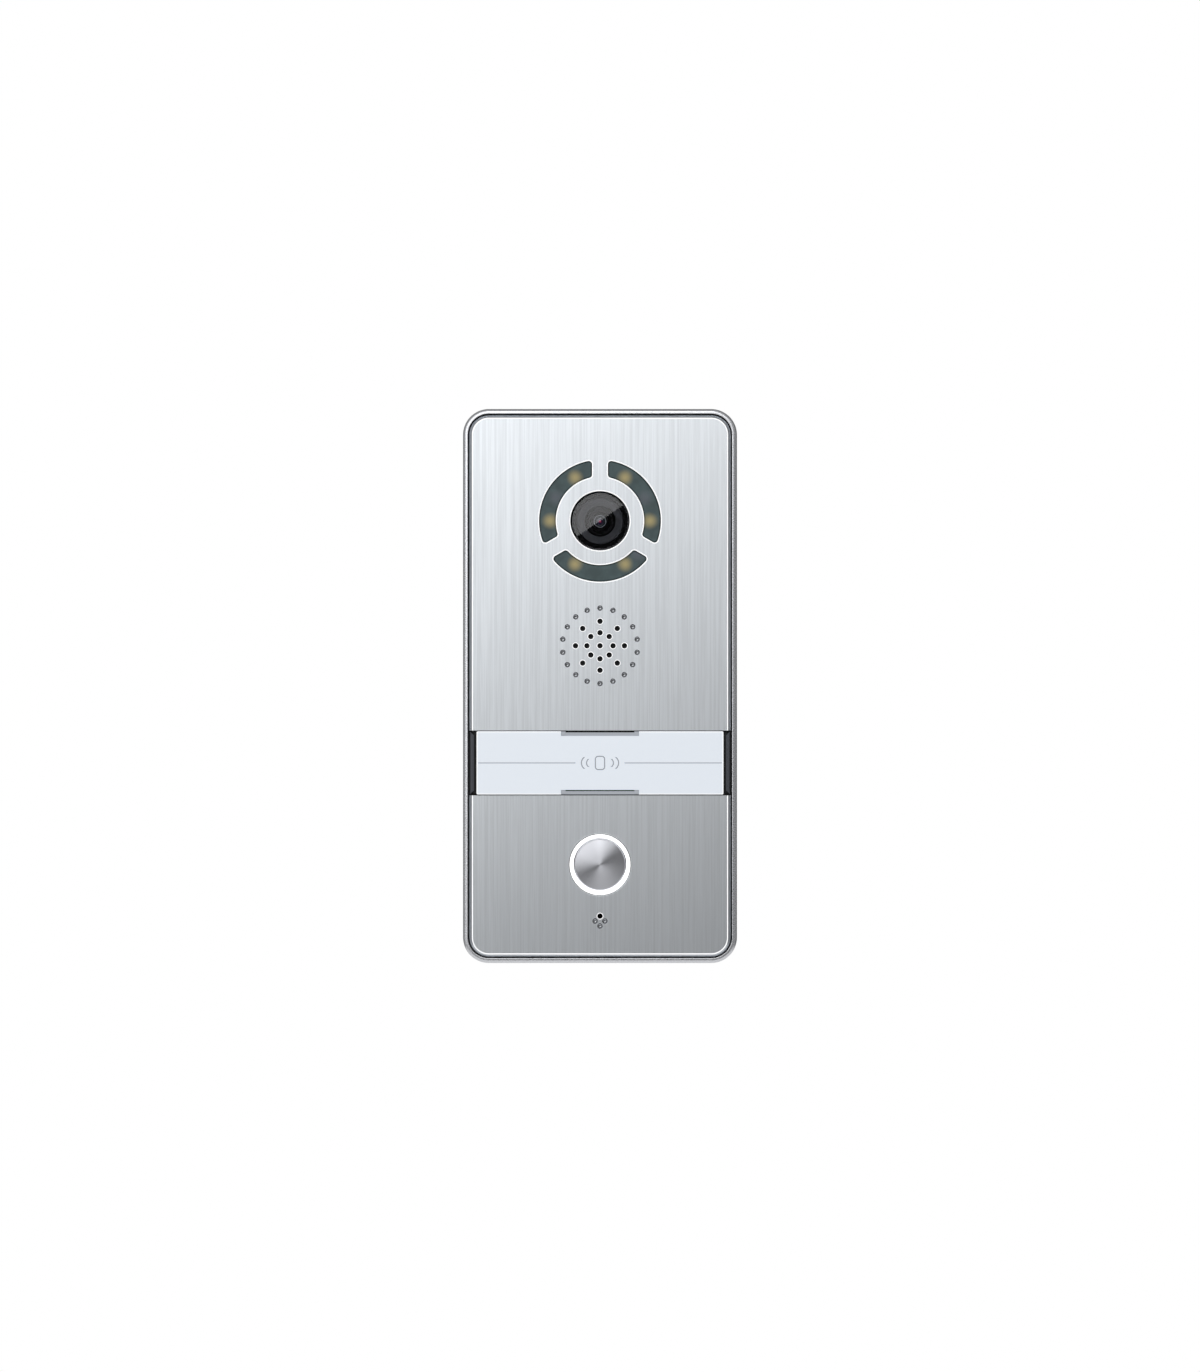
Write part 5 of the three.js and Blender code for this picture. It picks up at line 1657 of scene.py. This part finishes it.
@dataclass
class Nameplate:
    """The lit cover of the nameplate, with the reader's sign printed on it."""

    corner_radius: float = 0.0004
    corner_flats: int = 6
    edge: float = 0.0003
    edge_drop: float = 0.00012
    edge_facing: float = 0.3
    recess_width: float = 0.0256
    recess_height: float = 0.0015
    recess_depth: float = 0.0008
    card_room: float = 0.0003
    pocket_reach: float = 0.002
    block_size: tuple[float, float] = (0.0010, 0.0009)
    block_rise: float = 0.0005
    block_corner: float = 0.0002
    slot_width: float = 0.0226
    slot_height: float = 0.00045
    slot_clearance: float = 0.0001
    ink: float = 0.00002
    line_height: float = 0.00027
    line_roundness: float = 0.9
    line_reach: tuple[float, float] = (0.0080, 0.0400)
    sign_size: tuple[float, float] = (0.0034, 0.0047)
    sign_corner: float = 0.0011
    sign_stroke: float = 0.00036
    sign_flats: int = 8
    wave_places: tuple[float, ...] = (0.0044, 0.0061)
    wave_heights: tuple[float, ...] = (0.0026, 0.0038)
    wave_bend: float = 0.62
    wave_sides: int = 64
    wave_margin: float = 0.0001

    def __post_init__(self) -> None:
        """Takes the cover's box from the frame."""
        self.low, self.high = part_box("nameplate_cover")
        self.middle = (self.low + self.high) / 2
        self.floor = self.low.y + self.recess_depth

    def build(self) -> list[bpy.types.Object]:
        """Builds the cover and the print.

        Returns:
            The cover and the printed sign.
        """
        return [self.cover(), self.sign()]

    def cover(self) -> bpy.types.Object:
        """Builds the cover with its two pry recesses, a painted highlight on its sloping edge and
        painted shade in the recesses.

        Returns:
            The cover.
        """
        low = self.low + Vector((0, self.edge_drop, 0))
        cover = rounded_slab(
            "nameplate_face", low, self.high, self.corner_radius, self.corner_flats
        )
        step_end(cover, End.FRONT, [(self.edge, self.edge_drop)])
        card_low, card_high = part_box("name_card")
        room = Vector((self.card_room,) * 3)
        reach = Vector((0, self.pocket_reach, 0))
        combine(cover, Join.CUT, block("pocket", card_low - room, card_high + room + reach))
        for side in (1, -1):
            self.cut_recess(cover, side)
        for side in (-1, 1):
            for end in (-1, 1):
                combine(cover, Join.ADD, self.end_block(side, end))
        smooth(cover)
        dress(cover, "white_plastic", LIT_COVER, "nameplate", "nameplate_cover")
        # Painted shade in the recesses.
        paint_faces(cover, RECESS_SHADE, self.in_recess)
        # Painted highlight on the cover's sloping edge.
        paint_faces(cover, PAINTED_COVER_HIGHLIGHT, self.on_highlight_edge)
        return cover

    def cut_recess(self, cover: bpy.types.Object, side: int) -> None:
        """Cuts a pry recess and its slot into an edge of the cover.

        Args:
            cover: the cover.
            side: 1 for the upper edge and -1 for the lower one.
        """
        edge = self.high.z if side > 0 else self.low.z
        inner = edge - side * self.recess_height
        bottom, top = sorted((edge + side * CUT_PAST, inner))
        front = self.low.y - CUT_PAST
        half = self.recess_width / 2
        low, high = Vector((-half, front, bottom)), Vector((half, self.floor, top))
        combine(cover, Join.CUT, block("recess", low, high))
        top = edge + self.slot_clearance if side > 0 else inner
        half = self.slot_width / 2
        low = Vector((-half, front, top - self.slot_height))
        high = Vector((half, self.high.y + CUT_PAST, top))
        combine(cover, Join.CUT, block("slot", low, high))

    def end_block(self, side: int, end: int) -> bpy.types.Object:
        """Makes the small block at one end of a recess.

        Args:
            side: 1 for the upper recess and -1 for the lower one.
            end: -1 for its left end and 1 for its right one.

        Returns:
            The block, with rounded corners.
        """
        middle = end * (self.slot_width + self.recess_width) / 4
        edge = self.high.z if side > 0 else self.low.z
        level = edge - side * (self.recess_height - self.block_size[1]) / 2
        level -= side * self.block_size[1] / 2
        half = Vector((self.block_size[0] / 2, 0, self.block_size[1] / 2))
        low = Vector((middle, self.floor - self.block_rise, level)) - half
        high = Vector((middle, self.floor + self.block_rise, level)) + half
        return rounded_slab("end_block", low, high, self.block_corner, steps=4)

    def in_recess(self, face: bpy.types.MeshPolygon) -> bool:
        """Whether a face is a wall or the floor of a recess, where the shade is painted.

        Args:
            face: a face of the cover.

        Returns:
            True if it is.
        """
        reach = self.recess_width / 2 + TOUCH
        inner = (self.high.z - self.low.z) / 2 - self.recess_height - TOUCH
        deep = face.center.y > self.low.y + TOUCH
        return deep and abs(face.center.x) < reach and abs(face.center.z - self.middle.z) > inner

    def on_highlight_edge(self, face: bpy.types.MeshPolygon) -> bool:
        """Whether a face is on the sloping edge round the cover's front, where the highlight is
        painted.

        Args:
            face: a face of the cover.

        Returns:
            True if it is.
        """
        level = face.center.y - self.low.y
        slopes = MERGE_DISTANCE < level < self.edge_drop - MERGE_DISTANCE
        return slopes and face.normal.y < -self.edge_facing and not self.in_recess(face)

    def sign(self) -> bpy.types.Object:
        """Builds the printed sign as a thin layer of ink on the cover's face.

        Returns:
            The sign.
        """
        depth = self.low.y - self.ink, self.low.y + self.ink
        parts = [self.line(side, *depth) for side in (-1, 1)]
        parts.append(self.outline(*self.sign_size, *depth))
        for place, tall in zip(self.wave_places, self.wave_heights):
            parts += [self.wave(side, place, tall, *depth) for side in (-1, 1)]
        choose(parts[0])
        for part in parts:
            part.select_set(True)
        bpy.ops.object.join()
        sign = parts[0]
        sign.name = "reader_sign"
        sign.data.name = sign.name
        smooth(sign)
        return dress(sign, "card_paper", INK, "nameplate")

    def line(self, side: int, front: float, back: float) -> bpy.types.Object:
        """Builds the line on one side of the sign.

        Args:
            side: -1 for the left and 1 for the right.
            front: the y of its front.
            back: the y of its back.

        Returns:
            The line.
        """
        left, right = sorted(side * reach for reach in self.line_reach)
        half = self.line_height / 2
        low = Vector((left, front, self.middle.z - half))
        high = Vector((right, back, self.middle.z + half))
        return rounded_slab("line", low, high, half * self.line_roundness, steps=3)

    def outline(self, width: float, height: float, front: float, back: float) -> bpy.types.Object:
        """Builds the rounded outline in the middle of the sign.

        Args:
            width: its outer width.
            height: its outer height.
            front: the y of its front.
            back: the y of its back.

        Returns:
            The outline.
        """
        half = Vector((width / 2, 0, height / 2))
        middle = Vector((0, 0, self.middle.z))
        depth = Vector((0, front, 0)), Vector((0, back, 0))
        plate = rounded_slab(
            "outline", middle - half + depth[0], middle + half + depth[1],
            self.sign_corner, self.sign_flats,
        )
        inner = half - Vector((self.sign_stroke, 0, self.sign_stroke))
        extra = Vector((0, self.ink, 0))
        hole = rounded_slab(
            "hole", middle - inner + depth[0] - extra, middle + inner + depth[1] + extra,
            self.sign_corner - self.sign_stroke, self.sign_flats,
        )
        combine(plate, Join.CUT, hole)
        return plate

    def wave(
        self, side: int, place: float, tall: float, front: float, back: float
    ) -> bpy.types.Object:
        """Builds one of the arcs beside the outline.

        Args:
            side: -1 for the left and 1 for the right.
            place: how far its middle is from the sign's middle.
            tall: its height.
            front: the y of its front.
            back: the y of its back.

        Returns:
            The arc.
        """
        bulge = tall * self.wave_bend
        middle = Vector((side * (place - bulge), 0, self.middle.z))
        half = self.sign_stroke / 2
        profile = [
            (bulge - half, back), (bulge + half, back), (bulge + half, front),
            (bulge - half, front), (bulge - half, back),
        ]
        ring = turned("wave", middle, profile, self.wave_sides)
        left, right = sorted((middle.x, middle.x + side * bulge * 2))
        low = Vector((left, front - self.wave_margin, middle.z - tall / 2))
        high = Vector((right, back + self.wave_margin, middle.z + tall / 2))
        combine(ring, Join.KEEP, block("keep", low, high))
        return ring


@dataclass
class Carriers:
    """The two dark rails that hold the ends of the nameplate."""

    gap: float = 0.0009
    clearance: float = 0.0002
    rise: float = 0.0011
    end_slant: float = 0.0011
    edge: float = 0.0002
    rib_width: float = 0.00035
    rib_rise: float = 0.0003

    def build(self) -> list[bpy.types.Object]:
        """Builds the left and the right rail.

        Returns:
            The rails.
        """
        cover_low, cover_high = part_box("nameplate_cover")
        floor = back_of("upper_front_plate") - self.clearance
        inner = cover_high.x + self.gap
        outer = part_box("upper_front_plate")[1].x - self.clearance
        rails = []
        for side, name in ((-1, "nameplate_rail_left"), (1, "nameplate_rail_right")):
            ends = sorted((side * inner, side * outer))
            low = Vector((ends[0], floor - self.rise, cover_low.z + self.clearance))
            high = Vector((ends[1], floor, cover_high.z - self.clearance))
            rail = rounded_slab(
                name, low, high, self.end_slant, 1,
                lambda a, b, side=side: runs_through(a, b) and side * a.x < (inner + outer) / 2,
            )
            step_end(rail, End.FRONT, [(self.edge, self.edge)])
            middle = side * (inner + outer) / 2
            half = Vector((self.rib_width / 2, 0, 0))
            rib_low = Vector((middle, low.y - self.edge - self.rib_rise, low.z + self.end_slant))
            rib_high = Vector((middle, high.y - self.edge, high.z - self.end_slant))
            rib = rounded_slab("rib", rib_low - half, rib_high + half, self.rib_width / 3, 2)
            combine(rail, Join.ADD, rib)
            smooth(rail)
            rails.append(dress(rail, "dark_plastic", RAIL, "housing"))
        return rails


# ---- Call button ---------------------------------------------------------------------------------


@dataclass
class CallButton:
    """The spun cap of the call button and the lit ring round it."""

    cap_sides: int = 144
    chamfer: float = 0.0003
    fine_edge: float = 0.0001
    crown: float = 0.0007
    crown_flats: int = 16
    crown_tip: float = 0.00005
    crease: float = math.radians(20)
    wall: float = 0.0012
    ceiling: float = 0.0012
    ring_wall: float = 0.00115
    ring_foot: float = 0.0013
    ring_extra: float = 0.00015
    ring_edge: float = 0.0003
    ring_edge_flats: int = 4
    foot_drop: float = 0.0004
    gap_shade_start: float = 0.995

    def __post_init__(self) -> None:
        """Takes the button's axis from the frame."""
        self.axis = centre_of("call_button_cap")

    def build(self) -> list[bpy.types.Object]:
        """Builds the cap and its ring."""
        return [self.cap(), self.ring()]

    def cap(self) -> bpy.types.Object:
        """Builds the hollow cap, slightly crowned, with a bright chamfer.

        Returns:
            The cap.
        """
        radius, edge = radius_of("call_button_cap"), self.fine_edge
        back, front = back_of("call_button_cap"), front_of("call_button_cap")
        shoulder = front + self.crown
        face = radius - self.chamfer
        shares = [1 - i / self.crown_flats for i in range(self.crown_flats)]
        crown = [(face * share, shoulder - self.crown * (1 - share**2)) for share in shares]
        inner, ceiling = radius - self.wall, shoulder + self.ceiling
        profile = [
            (edge, ceiling), (inner, ceiling), (inner, back), (radius - edge, back),
            (radius, back - edge), (radius, shoulder + self.chamfer), *crown,
            (self.crown_tip, front),
        ]
        cap = turned("spun_cap", self.axis, profile, self.cap_sides)
        smooth(cap, self.crease)
        finish = SpunMetal("spun_cap", tuple(self.axis))
        return dress(cap, "spun_metal", finish, "call_button", "call_button_cap")

    def ring(self) -> bpy.types.Object:
        """Builds the ring that glows round the cap.

        Returns:
            The ring.
        """
        back, front = back_of("button_light_ring"), front_of("button_light_ring")
        foot = radius_of("button_light_ring")
        outer = foot - self.ring_foot + self.ring_extra
        inner = foot - self.ring_foot - self.ring_wall
        level = back_of("upper_front_plate") + self.foot_drop
        flats, edge = self.ring_edge_flats, self.ring_edge
        angles = [QUARTER_TURN * i / flats for i in range(flats + 1)]
        turns = [(1 - math.cos(a), 1 - math.sin(a)) for a in angles]
        profile = [
            (inner, back), (foot, back), (foot, level), (outer, level),
            *((outer - edge * across, front + edge * along) for across, along in turns),
            *((inner + edge * along, front + edge * across) for across, along in turns),
            (inner, back),
        ]
        ring = turned("glow_ring", self.axis, profile, FINE_SIDES)
        smooth(ring)
        dress(ring, "glow_plastic", GLOW_RING, "housing", "button_light_ring")
        # Painted shade: the ring's foot, seen in the gap round the ring, is black.
        paint_faces(ring, GLOSS_BLACK, lambda face: self.in_gap_shade(face, outer, front))
        return ring

    def in_gap_shade(self, face: bpy.types.MeshPolygon, outer: float, front: float) -> bool:
        """Whether a face of the ring is blacked out as painted shade in the gap round it, so that
        only its front glows.

        Args:
            face: a face of the ring.
            outer: the outer radius of the ring's front.
            front: the y of its front.

        Returns:
            True if it is.
        """
        offset = face.center - self.axis
        radius = math.hypot(offset.x, offset.z)
        return radius > outer * self.gap_shade_start and face.center.y > front + 2 * self.ring_edge


# ---- Studio --------------------------------------------------------------------------------------


@dataclass
class Studio:
    """Camera, floor, lights and the pale surroundings."""

    camera_distance: float = 1.249
    lens: float = 100.0
    clip: tuple[float, float] = (0.05, 50.0)
    floor_radius: float = 0.6
    floor_drop: float = 0.26
    soft_box_distance: float = 2.0
    soft_box_size: tuple[float, float] = (3.2, 2.2)
    soft_box_glow: float = 1.9
    edge_slope: float = math.radians(34)
    surround: Profile = ((0.0, 0.02), (0.06, 0.12), (0.2, 0.5), (0.4, 0.14), (1.0, 0.22))
    left_right: tuple[float, float] = (1.2, 0.8)
    bottom_top: tuple[float, float] = (0.6, 1.4)
    strip_place: tuple[float, float, float] = (0.0, -1.1, 0.6)
    strip_size: tuple[float, float] = (0.2, 0.3)
    strip_glow: float = 1.6

    def add_camera(self) -> None:
        """Adds the camera, straight in front of the panel."""
        low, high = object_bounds()
        data = bpy.data.cameras.new("camera")
        data.lens = self.lens
        data.clip_start, data.clip_end = self.clip
        camera = bpy.data.objects.new("camera", data)
        bpy.context.scene.collection.objects.link(camera)
        camera.location = (0, low.y - self.camera_distance, (low.z + high.z) / 2)
        camera.rotation_euler = (QUARTER_TURN, 0, 0)
        bpy.context.scene.camera = camera

    def add_floor(self) -> None:
        """Adds a plain pale disc well below the panel."""
        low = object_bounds()[0]
        clear_selection()
        bpy.ops.mesh.primitive_circle_add(
            vertices=ROUND_SIDES, radius=self.floor_radius, fill_type="NGON",
            location=(0, 0, low.z - self.floor_drop),
        )
        floor = newest("floor")
        floor.data.materials.append(FLOOR.material())
        floor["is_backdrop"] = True

    def area_light(
        self, name: str, size: tuple[float, float], glow: float
    ) -> bpy.types.Object:
        """Adds a rectangular light.

        Args:
            name: its name.
            size: its width and height.
            glow: how bright its face is.

        Returns:
            The light.
        """
        data = bpy.data.lights.new(name, "AREA")
        data.shape = "RECTANGLE"
        data.size, data.size_y = size
        data.energy = glow * math.pi * size[0] * size[1]
        light = bpy.data.objects.new(name, data)
        bpy.context.scene.collection.objects.link(light)
        return light

    def add_soft_box(self, lens: Vector) -> None:
        """Adds the large light up and to the left behind the camera.

        Args:
            lens: the middle of the camera window, which mirrors the light's lower edge.
        """
        eye = bpy.context.scene.camera.location
        away = lens.y - eye.y
        rise = (lens.z - eye.z) / away
        reach = away + self.soft_box_distance
        edge = Vector((0, lens.y - reach, lens.z + rise * reach))
        along = Vector((math.cos(self.edge_slope), 0, math.sin(self.edge_slope)))
        across = Vector((-along.z, 0, along.x))
        light = self.area_light("soft_box", self.soft_box_size, self.soft_box_glow)
        middle = edge + across * (self.soft_box_size[1] / 2)
        turn = Matrix((along, across, Vector((0, -1, 0)))).transposed().to_4x4()
        light.matrix_world = Matrix.Translation(middle) @ turn

    def add_strip(self, target: Vector) -> None:
        """Adds the smaller light above, which draws the bright sector of the spun cap.

        Args:
            target: what it faces.
        """
        light = self.area_light("strip", self.strip_size, self.strip_glow)
        light.location = self.strip_place
        light.rotation_euler = (target - light.location).to_track_quat("-Z", "Y").to_euler()

    def add_world(self) -> None:
        """Adds surroundings that are white behind the panel and shaded round it."""
        world = bpy.data.worlds.new("studio")
        bpy.context.scene.world = world
        world.use_nodes = True
        tree = world.node_tree
        background = tree.nodes["Background"]
        place = tree.nodes.new("ShaderNodeTexCoord")
        parts = tree.nodes.new("ShaderNodeSeparateXYZ")
        tree.links.new(place.outputs["Generated"], parts.inputs[0])
        depth = tree.nodes.new("ShaderNodeMapRange")
        depth.inputs["From Min"].default_value = -1.0
        tree.links.new(parts.outputs["Y"], depth.inputs["Value"])
        wall = tree.nodes.new("ShaderNodeValToRGB")
        stops = wall.color_ramp.elements
        for position, level in self.surround[1:-1]:
            stops.new(position).color = (level, level, level, 1.0)
        stops[0].color = (*(self.surround[0][1],) * 3, 1.0)
        stops[-1].color = (*(self.surround[-1][1],) * 3, 1.0)
        tree.links.new(depth.outputs["Result"], wall.inputs["Fac"])
        product = wall.outputs["Color"]
        for axis, (low, high) in (("X", self.left_right), ("Z", self.bottom_top)):
            side = tree.nodes.new("ShaderNodeMapRange")
            side.inputs["From Min"].default_value = -1.0
            side.inputs["To Min"].default_value = low
            side.inputs["To Max"].default_value = high
            tree.links.new(parts.outputs[axis], side.inputs["Value"])
            times = tree.nodes.new("ShaderNodeMath")
            times.operation = "MULTIPLY"
            tree.links.new(product, times.inputs[0])
            tree.links.new(side.outputs["Result"], times.inputs[1])
            product = times.outputs[0]
        ray = tree.nodes.new("ShaderNodeLightPath")
        mix = tree.nodes.new("ShaderNodeMix")
        mix.inputs["B"].default_value = 1.0
        tree.links.new(ray.outputs["Is Camera Ray"], mix.inputs["Factor"])
        tree.links.new(product, mix.inputs["A"])
        tree.links.new(mix.outputs["Result"], background.inputs["Strength"])
        background.inputs["Color"].default_value = (1.0, 1.0, 1.0, 1.0)

    def build(self, lens: Vector) -> None:
        """Builds the whole studio.

        Args:
            lens: the middle of the camera window.
        """
        self.add_camera()
        self.add_floor()
        self.add_soft_box(lens)
        self.add_strip(Vector((0, 0, 0)))
        self.add_world()
        bpy.context.scene.view_settings.view_transform = "Standard"


# ---- The carried-over nodes ----------------------------------------------------------------------


def finish_carried_nodes(frame: dict) -> int:
    """Gives every CAD node the finish of its material slot, but the microphone capsule black as
    painted shade.

    Returns:
        How many nodes have one.
    """
    slots = {part["node"]: part["material_slot"] for part in frame["record"]["subparts"]}
    # Painted shade: the capsule is black so that the hole in front of it stays dark.
    slots["microphone_capsule"] = "cone_black"
    for name, piece in frame["nodes"].items():
        material = FINISHES[slots[name]].material()
        for place in piece.material_slots:
            place.material = material
        if not piece.material_slots:
            piece.data.materials.append(material)
    return len(slots)


def main() -> None:
    """Builds the looks round the frame, piece by piece."""
    logging.basicConfig(level=logging.INFO, format="%(name)s: %(message)s")
    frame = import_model()
    log.info("%d carried nodes finished", finish_carried_nodes(frame))
    shell = FrontFrame().build()
    log.info("%s: %d faces", shell.name, len(shell.data.polygons))
    plates = FrontPlates()
    made = [*plates.build(), *plates.light_windows()]
    for assembly in (CameraEye(), Carriers(), Nameplate(), CallButton()):
        made += assembly.build()
    for piece in made:
        log.info("%s: %d faces", piece.name, len(piece.data.polygons))
    Studio().build(centre_of("camera_window"))


if __name__ == "__main__":
    main()
